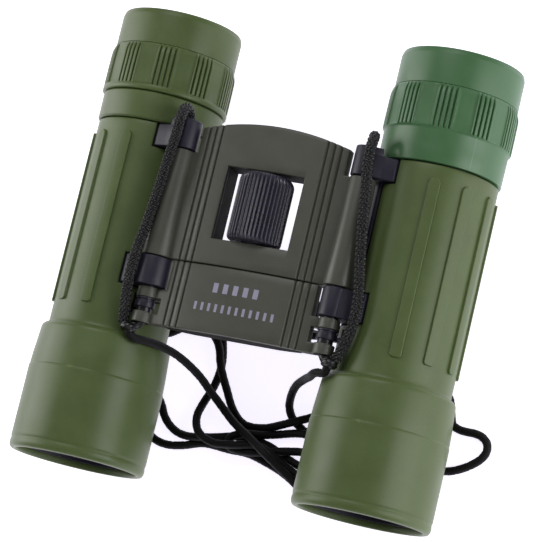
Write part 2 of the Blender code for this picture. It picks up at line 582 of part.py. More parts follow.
def cords():
    for side, s in SIDES:
        ctrl = [(s * (XH + u), y, ZH + v) for u, v, y in STRAP[side]]
        tube("strap_loop_" + side, spline(ctrl, 3.4), 1.25)
        lathe("strap_knot_" + side,
              [(0.0, 31.7), (1.1, 31.72), (1.85, 32.05), (2.1, 32.5), (1.95, 32.9), (2.1, 33.3), (1.8, 33.8),
               (0.9, 34.12), (0.0, 34.15)], s * (XH + 2.5), ZH + 0.8, 16)
    pts = cord_points()
    step = 6
    keep = pts[::step]
    if (pts[-1] - keep[-1]).length > 1.0:
        keep.append(pts[-1])
    else:
        keep[-1] = pts[-1]
    tube("neck_cord", keep, CORD_R)


# ---------------------------------------------------------------------------------------------- materials, assembly
# base colour (linear), roughness, metallic
FINISHES = {
    "armour_olive": ((0.108, 0.132, 0.072), 0.62, 0.0),
    "dioptre_green": ((0.098, 0.172, 0.094), 0.50, 0.0),
    "bridge_shell": ((0.105, 0.108, 0.096), 0.45, 0.0),
    "black_body": ((0.022, 0.022, 0.023), 0.32, 0.0),
    "black_inner": ((0.012, 0.012, 0.012), 0.70, 0.0),
    "wheel_rubber": ((0.030, 0.029, 0.036), 0.50, 0.0),
    "lens_glass": ((0.60, 0.66, 0.62), 0.05, 0.0),
    "prism_glass": ((0.70, 0.74, 0.72), 0.08, 0.0),
    "steel": ((0.42, 0.42, 0.43), 0.30, 1.0),
    "blackened_steel": ((0.040, 0.040, 0.044), 0.35, 1.0),
    "cord_black": ((0.020, 0.020, 0.021), 0.75, 0.0),
}
SLOT_OF = (
    ("barrel_armour_", "armour_olive"), ("grip_ring_left", "armour_olive"), ("eyecup_left", "armour_olive"),
    ("eyepiece_collar_left", "armour_olive"), ("diopter_ring_right", "dioptre_green"), ("eyecup_right", "dioptre_green"),
    ("bridge_screw_", "steel"), ("bridge_", "bridge_shell"), ("barrel_body_", "black_body"),
    ("objective_cell_", "black_inner"), ("objective_retainer_", "black_inner"), ("objective_lens_", "lens_glass"),
    ("eye_lens_", "lens_glass"), ("field_lens_", "lens_glass"), ("roof_prism_", "prism_glass"),
    ("schmidt_prism_", "prism_glass"), ("prism_cage_", "black_inner"), ("field_stop_", "black_inner"),
    ("ocular_tube_", "black_inner"), ("focus_collar_", "black_body"), ("focus_wheel_grip", "wheel_rubber"),
    ("focus_wheel_hub", "black_body"), ("focus_spindle", "steel"), ("focus_crossbar", "blackened_steel"),
    ("hinge_tube_", "blackened_steel"), ("strap_", "cord_black"), ("neck_cord", "cord_black"),
)
# empty, parent empty, a point on its joint's axis
AXES = (
    ("bridge_frame", None, (0.0, LENGTH / 2.0, 0.0)),
    ("focus_axis", "bridge_frame", (0.0, 66.0, ZH)),
    ("carriage_slide", "bridge_frame", (0.0, 39.6, ZH)),
    ("left_fold_axis", "bridge_frame", (-XH, 60.0, ZH)),
    ("right_fold_axis", "bridge_frame", (XH, 60.0, ZH)),
    ("left_cell_slide", "left_fold_axis", (-XB, 15.0, ZB)),
    ("right_cell_slide", "right_fold_axis", (XB, 15.0, ZB)),
    ("right_ocular_slide", "right_fold_axis", (XB, 90.0, ZB)),
    ("dioptre_axis", "right_fold_axis", (XB, 92.0, ZB)),
)


def axis_of(name):
    if name.startswith(("bridge_", "hinge_tube_", "strap_", "neck_")):
        return "bridge_frame"
    if name.startswith(("focus_wheel_", "focus_spindle")):
        return "focus_axis"
    if name.startswith("focus_crossbar"):
        return "carriage_slide"
    side = "left" if name.endswith("_left") else "right"
    if name.startswith(("objective_", "focus_collar_")):
        return side + "_cell_slide"
    if side == "right" and name.startswith(("ocular_tube_", "field_lens_", "eye_lens_")):
        return "right_ocular_slide"
    if name in ("diopter_ring_right", "eyecup_right"):
        return "dioptre_axis"
    return side + "_fold_axis"


def finish(ob):
    slot = next(s for start, s in SLOT_OF if ob.name.startswith(start))
    mat = bpy.data.materials.get(slot)
    if mat is None:
        mat = bpy.data.materials.new(slot)
        mat.use_nodes = True
        colour, rough, metal = FINISHES[slot]
        node = mat.node_tree.nodes["Principled BSDF"]
        node.inputs["Base Color"].default_value = (*colour, 1.0)
        node.inputs["Roughness"].default_value = rough
        node.inputs["Metallic"].default_value = metal
        mat.diffuse_color = (*colour, 1.0)
    ob.data.materials.clear()
    ob.data.materials.append(mat)
    if ob.type == "MESH":
        ob.data.shade_smooth()
        ob.data.set_sharp_from_angle(angle=math.radians(32.0))


def assemble():
    empties = {}
    for name, parent, at in AXES:
        e = bpy.data.objects.new(name, None)
        e.empty_display_size = 0.01
        bpy.context.scene.collection.objects.link(e)
        where = pt(*at)
        if parent is not None:
            e.parent = empties[parent]
            e.location = where - pt(*dict((n, p) for n, _, p in AXES)[parent])
        else:
            e.location = where
        empties[name] = e
    bpy.context.view_layer.update()
    for ob in [o for o in bpy.context.scene.objects if o.type in ("MESH", "CURVE")]:
        finish(ob)
        e = empties[axis_of(ob.name)]
        ob.parent = e
        ob.location = -e.matrix_world.translation
    bpy.context.view_layer.update()


clear_scene()
bridge()
focusing()
for side_name, sign in SIDES:
    barrel(side_name, sign)
cords()
assemble()
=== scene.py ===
"""Folding pocket binoculars: the finished look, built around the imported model."""
import math
import bpy
import bmesh
from mathutils import Vector, Matrix


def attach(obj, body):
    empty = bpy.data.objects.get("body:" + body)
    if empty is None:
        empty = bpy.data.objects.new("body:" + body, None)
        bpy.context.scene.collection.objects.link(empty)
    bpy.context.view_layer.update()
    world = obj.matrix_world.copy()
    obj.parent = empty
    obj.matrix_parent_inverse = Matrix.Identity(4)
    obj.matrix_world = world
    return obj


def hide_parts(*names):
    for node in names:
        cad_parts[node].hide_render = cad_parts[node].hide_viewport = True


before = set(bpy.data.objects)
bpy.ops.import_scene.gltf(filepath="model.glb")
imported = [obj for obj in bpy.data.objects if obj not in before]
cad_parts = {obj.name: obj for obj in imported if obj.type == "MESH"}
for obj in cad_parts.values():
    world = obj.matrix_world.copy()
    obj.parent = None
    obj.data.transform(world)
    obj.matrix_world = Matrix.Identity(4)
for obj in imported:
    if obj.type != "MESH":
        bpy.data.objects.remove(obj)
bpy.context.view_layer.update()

# All shapes are worked out in millimetres: X across, Y from the objective ends (0) to the eyecup rims (111), Z up from
# the table; P() turns them into the row frame.
LENGTH = 111.0
R_OBJ = 16.65
ZB = R_OBJ
XB = 36.8
XH = 23.25
ZH = ZB + 12.96
R_MAIN = 14.5
R_RIB = 15.12
HANG = math.degrees(math.atan2(XB - XH, ZH - ZB))
SIDES = (("left", -1.0), ("right", 1.0))
BODY = {"left": "left_barrel", "right": "right_barrel"}


def P(x, y, z):
    return (x * 0.001, (y - LENGTH / 2.0) * 0.001, z * 0.001)


# ------------------------------------------------------------------------------------------------------- camera
cam_data = bpy.data.cameras.new("camera")
cam_data.lens = 188.28
cam_data.sensor_width = 36.0
cam_data.clip_start = 0.01
cam_data.clip_end = 20.0
cam = bpy.data.objects.new("camera", cam_data)
bpy.context.scene.collection.objects.link(cam)
XR = Vector((0.91722077, 0.22982054, -0.32540524))
YR = Vector((-0.15615, 0.95886248, 0.23706523))
ZR = Vector((0.36650134, -0.16662912, 0.91537506))
cam.matrix_world = Matrix(((XR.x, YR.x, ZR.x, 0.248338), (XR.y, YR.y, ZR.y, -0.114422),
                           (XR.z, YR.z, ZR.z, 0.637455), (0.0, 0.0, 0.0, 1.0)))
bpy.context.scene.camera = cam


# ------------------------------------------------------------------------------------------------------- mesh kit
class Shells:
    """Collects closed shells for one piece."""

    def __init__(self):
        self.verts, self.faces = [], []

    def add(self, vf):
        k = len(self.verts)
        self.verts += list(vf[0])
        self.faces += [tuple(i + k for i in f) for f in vf[1]]
        return self


def raw_object(name, vf, scale=True):
    me = bpy.data.meshes.new(name)
    me.from_pydata([P(*v) if scale else tuple(v) for v in vf[0]], [], vf[1])
    bm = bmesh.new()
    bm.from_mesh(me)
    bmesh.ops.remove_doubles(bm, verts=bm.verts, dist=2e-7 if scale else 2e-4)
    bmesh.ops.dissolve_degenerate(bm, dist=1e-7 if scale else 1e-4, edges=bm.edges)
    bmesh.ops.recalc_face_normals(bm, faces=bm.faces)
    bm.to_mesh(me)
    bm.free()
    ob = bpy.data.objects.new(name, me)
    bpy.context.scene.collection.objects.link(ob)
    return ob


def piece(name, vf, material, body, nodes, angle=38.0):
    if isinstance(vf, Shells):
        vf = (vf.verts, vf.faces)
    ob = raw_object(name, vf)
    return dress(ob, material, body, nodes, angle)


def dress(ob, material, body, nodes, angle=38.0):
    if ob.type == "MESH":
        ob.data.shade_smooth()
        ob.data.set_sharp_from_angle(angle=math.radians(angle))
    ob.data.materials.clear()
    ob.data.materials.append(material)
    if nodes:
        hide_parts(*nodes)
    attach(ob, body)
    return ob


def rounded(prof, closed=True, seg=4):
    """Fillets a profile; points are (r, y) or (r, y, fillet)."""
    n = len(prof)
    out = []
    for i, p in enumerate(prof):
        f = p[2] if len(p) > 2 else 0.12
        if (not closed and i in (0, n - 1)) or f <= 0.0:
            out.append((p[0], p[1]))
            continue
        a, c, b = Vector(prof[i - 1][:2]), Vector(p[:2]), Vector(prof[(i + 1) % n][:2])
        d1, d2 = a - c, b - c
        l1, l2 = d1.length, d2.length
        if l1 < 1e-6 or l2 < 1e-6:
            out.append((p[0], p[1]))
            continue
        d1, d2 = d1 / l1, d2 / l2
        th = d1.angle(d2)
        if th > math.radians(172):
            out.append((p[0], p[1]))
            continue
        t = min(f / math.tan(th / 2.0), 0.45 * l1, 0.45 * l2)
        q1, q2 = c + d1 * t, c + d2 * t
        for k in range(seg + 1):
            s = k / seg
            q = q1 * (1 - s) ** 2 + c * 2 * s * (1 - s) + q2 * s * s
            out.append((q.x, q.y))
    return out


def lathe(prof, cx, cz, n=144, phase=0.0):
    verts, faces = [], []
    solid = prof[0][0] < 1e-6
    ring = prof[1:-1] if solid else prof
    for r, y in ring:
        for i in range(n):
            a = phase + 2.0 * math.pi * i / n
            verts.append((cx + r * math.sin(a), y, cz + r * math.cos(a)))
    m = len(ring)
    for j in range(m - 1 if solid else m):
        k = (j + 1) % m
        for i in range(n):
            q = (i + 1) % n
            faces.append((j * n + i, j * n + q, k * n + q, k * n + i))
    if solid:
        c = len(verts)
        verts += [(cx, prof[0][1], cz), (cx, prof[-1][1], cz)]
        for i in range(n):
            q = (i + 1) % n
            faces += [(c, i, q), (c + 1, (m - 1) * n + q, (m - 1) * n + i)]
    return verts, faces


def lathe_cut(stations, angles, cx, cz):
    verts, faces = [], []
    n, m = len(angles), len(stations)
    for r, y, share in stations:
        for a, d in angles:
            q = r - d * share
            verts.append((cx + q * math.sin(a), y, cz + q * math.cos(a)))
    for j in range(m):
        k = (j + 1) % m
        for i in range(n):
            q = (i + 1) % n
            faces.append((j * n + i, j * n + q, k * n + q, k * n + i))
    return verts, faces


def inset(outline, d):
    """Outline moved inwards by d (outline runs anticlockwise in its own plane)."""
    n = len(outline)
    area = sum(outline[i][0] * outline[(i + 1) % n][1] - outline[(i + 1) % n][0] * outline[i][1] for i in range(n))
    sgn = 1.0 if area > 0 else -1.0
    out = []
    for i in range(n):
        a, c, b = Vector(outline[i - 1]), Vector(outline[i]), Vector(outline[(i + 1) % n])
        e1, e2 = (c - a).normalized(), (b - c).normalized()
        n1, n2 = Vector((-e1.y, e1.x)) * sgn, Vector((-e2.y, e2.x)) * sgn
        m = n1 + n2
        if m.length < 1e-6:
            m = n1
        m.normalize()
        k = d / max(0.5, m.dot(n1))
        out.append((c.x + m.x * k, c.y + m.y * k))
    return out


def bar(outline, y0, y1, edge=0.25, seg=3):
    """An outline in X and Z carried along Y, with rounded rims."""
    n = len(outline)
    loops = []
    for k in range(seg + 1):
        f = 0.5 * math.pi * k / seg
        loops.append((inset(outline, edge * (1 - math.sin(f))), y0 + edge * (1 - math.cos(f))))
    for k in range(seg, -1, -1):
        f = 0.5 * math.pi * k / seg
        loops.append((inset(outline, edge * (1 - math.sin(f))), y1 - edge * (1 - math.cos(f))))
    verts, faces = [], []
    for lp, y in loops:
        verts += [(x, y, z) for x, z in lp]
    for j in range(len(loops) - 1):
        for i in range(n):
            q = (i + 1) % n
            faces.append((j * n + i, j * n + q, (j + 1) * n + q, (j + 1) * n + i))
    faces.append(tuple(range(n)))
    e = (len(loops) - 1) * n
    faces.append(tuple(e + n - 1 - i for i in range(n)))
    return verts, faces


def block(x0, x1, y0, y1, z0, z1, edge=0.15):
    pts = rounded([(x0, z0, edge), (x1, z0, edge), (x1, z1, edge), (x0, z1, edge)], True, 3)
    return bar(pts, y0, y1, edge)


def plate(us, vs, keep, top, bottom, wrap=False):
    """Closed plate over a grid of u and v lines; keep(u, v) says which cells are there."""
    nu, nv = len(us), len(vs)
    verts = [top(u, v) for u in us for v in vs] + [bottom(u, v) for u in us for v in vs]
    off = nu * nv
    faces, edges = [], {}
    for i in range(nu if wrap else nu - 1):
        i2 = (i + 1) % nu
        um = 0.5 * (us[i] + us[i2]) if i2 > i else 0.5 * (us[i] + us[i2] + 360.0)
        for j in range(nv - 1):
            if not keep(um, 0.5 * (vs[j] + vs[j + 1])):
                continue
            q = (i * nv + j, i2 * nv + j, i2 * nv + j + 1, i * nv + j + 1)
            faces.append(q)
            faces.append(tuple(off + k for k in reversed(q)))
            for a, b in zip(q, q[1:] + q[:1]):
                if (b, a) in edges:
                    del edges[(b, a)]
                else:
                    edges[(a, b)] = True
    for a, b in edges:
        faces.append((b, a, off + a, off + b))
    used = sorted({k for f in faces for k in f})
    new = {k: i for i, k in enumerate(used)}
    return [verts[k] for k in used], [tuple(new[k] for k in f) for f in faces]


def roll(d, rho):
    if d >= rho:
        return 0.0
    d = max(d, 0.0)
    return rho - math.sqrt(max(rho * rho - (rho - d) ** 2, 0.0))


def rect_dist(u, v, rect):
    u0, u1, v0, v1 = rect
    du = max(u0 - u, 0.0, u - u1)
    dv = max(v0 - v, 0.0, v - v1)
    return math.hypot(du, dv)


def lines(base, marks, offs):
    """Grid lines: the base ones, and each mark with lines beside it."""
    out = set()
    for m in marks:
        out.add(round(m, 5))
        for o in offs:
            out.add(round(m + o, 5))
            out.add(round(m - o, 5))
    tight = sorted(out)
    for b in base:
        if all(abs(b - t) > 0.5 * offs[-1] for t in tight):
            out.add(round(b, 5))
    return sorted(out)


def spline(ctrl, step):
    """Centripetal Catmull-Rom run through the control points, resampled to an even step."""
    pts = [Vector(c) for c in ctrl]
    pts = [2 * pts[0] - pts[1]] + pts + [2 * pts[-1] - pts[-2]]
    fine = []
    for i in range(1, len(pts) - 2):
        p0, p1, p2, p3 = pts[i - 1], pts[i], pts[i + 1], pts[i + 2]
        t0 = 0.0
        t1 = t0 + max((p1 - p0).length, 1e-6) ** 0.5
        t2 = t1 + max((p2 - p1).length, 1e-6) ** 0.5
        t3 = t2 + max((p3 - p2).length, 1e-6) ** 0.5
        for k in range(24):
            t = t1 + (t2 - t1) * k / 24.0
            a1 = p0 * ((t1 - t) / (t1 - t0)) + p1 * ((t - t0) / (t1 - t0))
            a2 = p1 * ((t2 - t) / (t2 - t1)) + p2 * ((t - t1) / (t2 - t1))
            a3 = p2 * ((t3 - t) / (t3 - t2)) + p3 * ((t - t2) / (t3 - t2))
            b1 = a1 * ((t2 - t) / (t2 - t0)) + a2 * ((t - t0) / (t2 - t0))
            b2 = a2 * ((t3 - t) / (t3 - t1)) + a3 * ((t - t1) / (t3 - t1))
            fine.append(b1 * ((t2 - t) / (t2 - t1)) + b2 * ((t - t1) / (t2 - t1)))
    fine.append(pts[-2].copy())
    s = [0.0]
    for a, b in zip(fine, fine[1:]):
        s.append(s[-1] + (b - a).length)
    n = max(2, int(round(s[-1] / step)))
    out, j = [], 0
    for k in range(n + 1):
        d = s[-1] * k / n
        while j < len(s) - 2 and s[j + 1] < d:
            j += 1
        f = (d - s[j]) / max(s[j + 1] - s[j], 1e-9)
        out.append(fine[j].lerp(fine[j + 1], min(max(f, 0.0), 1.0)))
    return out


def braided(points, r, strands, pitch, depth, around=24, closed_ends=True):
    """Braided cord along evenly spaced points: two families of strands that pass over and under each other."""
    n = len(points)
    step = (points[1] - points[0]).length
    tangents = []
    for i in range(n):
        tangents.append((points[min(i + 1, n - 1)] - points[max(i - 1, 0)]).normalized())
    up = Vector((0.13, 0.21, 0.97))
    side = tangents[0].cross(up).normalized()
    verts, faces = [], []
    for i in range(n):
        t = tangents[i]
        side = (side - t * side.dot(t)).normalized()
        other = t.cross(side)
        s = i * step / pitch
        for k in range(around):
            th = 2 * math.pi * k / around
            u = strands * k / around
            a, b = u + s * strands * 0.5, u - s * strands * 0.5
            fa, fb = a - math.floor(a), b - math.floor(b)
            over = (int(math.floor(a)) + int(math.floor(b))) % 2 == 0
            f = fa if over else fb
            g = fb if over else fa
            h = (1.0 - (2 * f - 1) ** 2) * (0.75 + 0.25 * (1.0 - (2 * g - 1) ** 2))
            q = r - depth * (1.0 - h)
            v = points[i] + side * (q * math.cos(th)) + other * (q * math.sin(th))
            verts.append(tuple(v))
    for i in range(n - 1):
        for k in range(around):
            q = (k + 1) % around
            faces.append((i * around + k, i * around + q, (i + 1) * around + q, (i + 1) * around + k))
    if closed_ends:
        for base, sgn, at in ((0, -1, 0), ((n - 1) * around, 1, n - 1)):
            c = len(verts)
            verts.append(tuple(points[at] + tangents[at] * (0.35 * r * sgn)))
            for k in range(around):
                q = (k + 1) % around
                faces.append((base + k, base + q, c))
    return verts, faces


# ------------------------------------------------------------------------------------------------------- materials
def srgb(r, g, b):
    def lin(c):
        c /= 255.0
        return c / 12.92 if c <= 0.04045 else ((c + 0.055) / 1.055) ** 2.4
    return (lin(r), lin(g), lin(b))


def material(name, base, rough, metal=0.0, mottle=0.08, mottle_scale=170.0, grain=0.25, grain_scale=5200.0,
             depth=0.00004, rough_var=0.06, stretch=None, edge=0.0, spec=0.5, coat=0.0, sheen=0.0):
    m = bpy.data.materials.new(name)
    m.use_nodes = True
    nt = m.node_tree
    b = nt.nodes["Principled BSDF"]
    co = nt.nodes.new("ShaderNodeTexCoord")
    src = co.outputs["Object"]
    if stretch is not None:
        mp = nt.nodes.new("ShaderNodeMapping")
        mp.inputs["Scale"].default_value = stretch
        nt.links.new(src, mp.inputs["Vector"])
        src_fine = mp.outputs["Vector"]
    else:
        src_fine = src
    n1 = nt.nodes.new("ShaderNodeTexNoise")
    n1.inputs["Scale"].default_value = mottle_scale
    n1.inputs["Detail"].default_value = 4.0
    n1.inputs["Roughness"].default_value = 0.55
    nt.links.new(src, n1.inputs["Vector"])
    n2 = nt.nodes.new("ShaderNodeTexNoise")
    n2.inputs["Scale"].default_value = grain_scale
    n2.inputs["Detail"].default_value = 3.0
    nt.links.new(src_fine, n2.inputs["Vector"])
    mix = nt.nodes.new("ShaderNodeMix")
    mix.data_type = "RGBA"
    lo = tuple(c * (1.0 - mottle) for c in base)
    hi = tuple(min(1.0, c * (1.0 + mottle)) for c in base)
    mix.inputs[6].default_value = (*lo, 1.0)
    mix.inputs[7].default_value = (*hi, 1.0)
    mr = nt.nodes.new("ShaderNodeMapRange")
    mr.inputs["From Min"].default_value = 0.3
    mr.inputs["From Max"].default_value = 0.7
    nt.links.new(n1.outputs["Fac"], mr.inputs["Value"])
    nt.links.new(mr.outputs["Result"], mix.inputs[0])
    colour = mix.outputs[2]
    if grain > 0.0:
        mg = nt.nodes.new("ShaderNodeMix")
        mg.data_type = "RGBA"
        mg.blend_type = "MULTIPLY"
        mg.inputs[0].default_value = 1.0
        rg = nt.nodes.new("ShaderNodeMapRange")
        rg.inputs["From Min"].default_value = 0.3
        rg.inputs["From Max"].default_value = 0.7
        rg.inputs["To Min"].default_value = 1.0 - 0.25 * grain
        rg.inputs["To Max"].default_value = 1.0 + 0.12 * grain
        nt.links.new(n2.outputs["Fac"], rg.inputs["Value"])
        nt.links.new(colour, mg.inputs[6])
        nt.links.new(rg.outputs["Result"], mg.inputs[7])
        colour = mg.outputs[2]
    # painted highlight: edges with high pointiness are lightened towards about twice the base colour, standing in for
    # light glinting along convex edges
    if edge > 0.0:
        ge = nt.nodes.new("ShaderNodeNewGeometry")
        me = nt.nodes.new("ShaderNodeMapRange")
        me.inputs["From Min"].default_value = 0.52
        me.inputs["From Max"].default_value = 0.60
        me.inputs["To Max"].default_value = edge
        nt.links.new(ge.outputs["Pointiness"], me.inputs["Value"])
        mx = nt.nodes.new("ShaderNodeMix")
        mx.data_type = "RGBA"
        mx.inputs[7].default_value = (*(min(1.0, c * 2.1 + 0.02) for c in base), 1.0)
        nt.links.new(me.outputs["Result"], mx.inputs[0])
        nt.links.new(colour, mx.inputs[6])
        colour = mx.outputs[2]
    nt.links.new(colour, b.inputs["Base Color"])
    rr = nt.nodes.new("ShaderNodeMapRange")
    rr.inputs["From Min"].default_value = 0.25
    rr.inputs["From Max"].default_value = 0.75
    rr.inputs["To Min"].default_value = max(0.02, rough - rough_var)
    rr.inputs["To Max"].default_value = min(1.0, rough + rough_var)
    nt.links.new(n1.outputs["Fac"], rr.inputs["Value"])
    nt.links.new(rr.outputs["Result"], b.inputs["Roughness"])
    bump = nt.nodes.new("ShaderNodeBump")
    bump.inputs["Strength"].default_value = min(1.0, grain)
    bump.inputs["Distance"].default_value = depth
    nt.links.new(n2.outputs["Fac"], bump.inputs["Height"])
    nt.links.new(bump.outputs["Normal"], b.inputs["Normal"])
    b.inputs["Metallic"].default_value = metal
    b.inputs["Specular IOR Level"].default_value = spec
    b.inputs["Coat Weight"].default_value = coat
    b.inputs["Coat Roughness"].default_value = 0.15
    b.inputs["Sheen Weight"].default_value = sheen
    return m


def glass(name, tint, rough=0.02):
    m = bpy.data.materials.new(name)
    m.use_nodes = True
    nt = m.node_tree
    b = nt.nodes["Principled BSDF"]
    b.inputs["Roughness"].default_value = rough
    b.inputs["Transmission Weight"].default_value = 0.92
    b.inputs["IOR"].default_value = 1.52
    lw = nt.nodes.new("ShaderNodeLayerWeight")
    lw.inputs["Blend"].default_value = 0.35
    mix = nt.nodes.new("ShaderNodeMix")
    mix.data_type = "RGBA"
    mix.inputs[6].default_value = (*tint, 1.0)
    mix.inputs[7].default_value = (tint[0] * 0.55, tint[1] * 0.35, tint[2] * 0.75, 1.0)
    nt.links.new(lw.outputs["Facing"], mix.inputs[0])
    nt.links.new(mix.outputs[2], b.inputs["Base Color"])
    b.inputs["Coat Weight"].default_value = 0.6
    b.inputs["Coat Roughness"].default_value = 0.03
    b.inputs["Coat Tint"].default_value = (0.62, 0.45, 0.85, 1.0)
    return m


# edge= sets how strongly the painted edge highlight lightens each material's convex edges
OLIVE = material("armour_olive", (0.097, 0.138, 0.043), 0.40, mottle=0.09, mottle_scale=120.0, grain=0.35,
                 grain_scale=4200.0, depth=0.00003, edge=0.30, spec=0.42, rough_var=0.07)
GREEN = material("dioptre_green", (0.070, 0.172, 0.070), 0.36, mottle=0.06, mottle_scale=120.0, grain=0.25,
                 grain_scale=5200.0, depth=0.00002, edge=0.25, spec=0.5, rough_var=0.06)
SHELL = material("bridge_shell", (0.081, 0.082, 0.065), 0.40, mottle=0.06, mottle_scale=200.0, grain=0.5,
                 grain_scale=5600.0, depth=0.00003, edge=0.35, spec=0.5)
BLACK = material("black_body", (0.018, 0.016, 0.032), 0.44, mottle=0.15, mottle_scale=260.0, grain=0.22,
                 grain_scale=6000.0, depth=0.00002, edge=0.35, spec=0.42, rough_var=0.06)
INNER = material("black_inner", (0.004, 0.004, 0.004), 0.80, mottle=0.2, mottle_scale=400.0, grain=0.5,
                 grain_scale=5000.0, depth=0.00003, spec=0.2)
# near-black sheet material: painted shade for the inside walls of the bridge, which lie in shadow
SHADE_LINING = material("shell_inside_painted_shade", (0.0045, 0.0045, 0.003), 0.75, mottle=0.15, mottle_scale=300.0, grain=0.4,
                  grain_scale=5200.0, depth=0.00002, spec=0.15)
WHEEL = material("wheel_rubber", (0.022, 0.019, 0.036), 0.30, mottle=0.12, mottle_scale=300.0, grain=0.3,
                 grain_scale=6000.0, depth=0.00002, edge=0.8, spec=0.6, coat=0.15)
STEEL = material("steel", (0.45, 0.45, 0.46), 0.30, metal=1.0, mottle=0.08, mottle_scale=500.0, grain=0.3,
                 grain_scale=3000.0, depth=0.00001, stretch=(1.0, 0.08, 1.0))
DARKSTEEL = material("blackened_steel", (0.030, 0.030, 0.034), 0.34, metal=0.6, mottle=0.15, mottle_scale=500.0,
                     grain=0.3, grain_scale=3000.0, depth=0.00001, stretch=(0.08, 1.0, 0.08))
BRAID = material("cord_black", (0.0036, 0.0033, 0.0048), 0.34, mottle=0.20, mottle_scale=900.0, grain=0.3,
                 grain_scale=7000.0, depth=0.00002, spec=0.55, edge=0.10)
CORD = material("neck_cord_black", (0.0035, 0.003, 0.004), 0.60, mottle=0.2, mottle_scale=700.0, grain=0.7,
                grain_scale=5200.0, depth=0.00005, spec=0.25, edge=0.4)
PRINT = material("print_pale", (0.36, 0.35, 0.47), 0.5, mottle=0.06, mottle_scale=900.0, grain=0.3,
                 grain_scale=5000.0, depth=0.00001)
LENS = glass("lens_glass", (0.62, 0.78, 0.74))
PRISM = glass("prism_glass", (0.80, 0.86, 0.84), 0.04)


# ------------------------------------------------------------------------------------------------------- cords first
CORD_R = 1.0
CORD_PATH = [
    (24.7, 30.5, 29.7), (22.4, 30.4, 28.4), (20.4, 30.3, 25.2), (18.0, 30.4, 20.0), (14.6, 30.4, 14.0),
    (11.0, 29.2, 9.0),
    (8.7, 27.0, 4.6), (8.0, 24.6, 1.9), (9.2, 22.2, 1.0), (12.5, 20.0, 1.0), (17.0, 17.6, 1.0), (21.0, 14.0, 1.0),
    (22.3, 9.6, 1.0), (19.4, 6.4, 1.0), (15.0, 6.6, 1.0), (9.0, 9.3, 1.0),
    (4.5, 10.8, 1.0), (0.0, 11.9, 1.0), (-5.0, 12.0, 1.0), (-12.0, 12.3, 1.0), (-17.0, 10.9, 1.0), (-21.0, 10.3, 1.0),
    (-24.5, 10.9, 1.0), (-27.2, 12.8, 1.0), (-28.4, 16.0, 1.0), (-28.4, 19.2, 1.0), (-27.3, 21.4, 1.0),
    (-25.6, 20.2, 1.0), (-23.4, 16.6, 1.0), (-20.0, 14.0, 1.0), (-15.6, 13.2, 1.0), (-10.0, 14.0, 1.0),
    (-5.0, 15.3, 1.0), (0.0, 15.6, 1.0), (5.0, 14.6, 1.0), (11.0, 12.2, 1.0), (16.0, 10.8, 1.0), (20.2, 11.6, 1.0),
    (21.6, 15.2, 1.0), (18.6, 18.2, 1.0), (13.0, 18.9, 1.0), (8.0, 18.2, 1.0), (3.0, 16.9, 1.0),
    (-1.6, 16.2, 1.0), (-4.9, 14.8, 1.0), (-4.6, 12.6, 1.0), (-1.0, 12.0, 1.0), (4.0, 12.6, 1.0), (9.0, 13.8, 1.0),
    (14.0, 14.6, 1.0), (18.4, 13.6, 1.0), (20.4, 10.6, 1.0), (17.6, 8.2, 1.0), (12.4, 9.6, 1.0), (8.0, 12.0, 1.0),
    (3.0, 13.9, 1.0),
    (-3.0, 12.9, 1.0), (-8.5, 12.6, 1.0), (-12.6, 14.4, 1.0), (-14.5, 18.0, 1.0), (-14.0, 22.5, 1.0),
    (-12.6, 27.5, 1.0), (-12.2, 32.5, 1.0), (-13.4, 38.0, 1.0),
    (-15.6, 44.0, 1.0), (-16.0, 50.0, 1.0), (-11.5, 54.6, 1.0), (-4.0, 56.8, 1.0), (5.0, 56.8, 1.0), (13.0, 54.6, 1.0),
    (17.4, 50.0, 1.0), (15.6, 45.2, 1.0), (9.6, 43.2, 1.0), (2.0, 44.2, 1.0), (-3.4, 47.6, 1.0), (-2.6, 51.6, 1.0),
    (3.0, 53.2, 1.0), (8.2, 51.0, 1.0), (8.2, 47.4, 1.0), (3.0, 46.4, 1.0), (-6.0, 47.0, 1.0), (-14.0, 47.6, 1.0),
    (-22.0, 48.6, 1.0), (-28.0, 47.4, 1.0), (-31.6, 44.0, 1.0), (-32.2, 40.0, 1.0), (-30.4, 37.2, 1.0),
    (-27.4, 37.6, 1.0), (-24.6, 39.4, 1.0), (-20.6, 40.4, 1.0), (-16.6, 39.4, 1.0), (-13.4, 36.4, 1.0),
    (-11.8, 32.0, 1.0), (-9.6, 27.0, 1.0), (-6.6, 21.8, 1.0), (-3.0, 18.8, 1.0), (1.5, 18.6, 1.0), (6.5, 20.0, 1.0),
    (11.5, 22.0, 1.0), (17.0, 25.2, 1.0), (22.5, 28.8, 1.0), (28.0, 32.2, 1.0), (34.0, 33.2, 1.0), (39.5, 33.2, 1.0),
    (43.6, 32.4, 1.0), (45.4, 29.6, 1.0), (45.6, 24.6, 1.0), (45.7, 20.0, 1.0), (46.9, 17.1, 1.0), (49.9, 16.9, 1.0),
    (52.6, 17.8, 1.0), (55.2, 19.3, 1.0), (57.6, 21.5, 1.0), (58.4, 24.0, 1.0), (57.2, 26.0, 1.0), (54.6, 26.9, 1.0),
    (51.4, 27.0, 1.0), (48.9, 27.9, 1.0), (47.8, 30.6, 1.0), (46.6, 34.0, 1.0), (43.6, 36.2, 1.0), (39.5, 36.4, 1.0),
    (33.5, 36.0, 1.0),
    (28.6, 34.4, 1.0), (26.6, 30.0, 1.0), (26.4, 23.0, 1.0), (26.6, 15.0, 1.0), (26.0, 8.4, 1.0), (22.0, 4.2, 1.0),
    (17.0, 5.2, 1.0), (12.0, 8.4, 1.0),
    (7.0, 11.6, 1.0), (1.5, 15.0, 1.0), (-4.0, 18.2, 2.0), (-8.0, 21.5, 4.0), (-11.0, 24.3, 6.6), (-13.6, 27.2, 10.0),
    (-17.4, 30.0, 16.0), (-20.4, 30.9, 22.0), (-22.6, 30.7, 26.8), (-24.6, 30.5, 29.7),
]


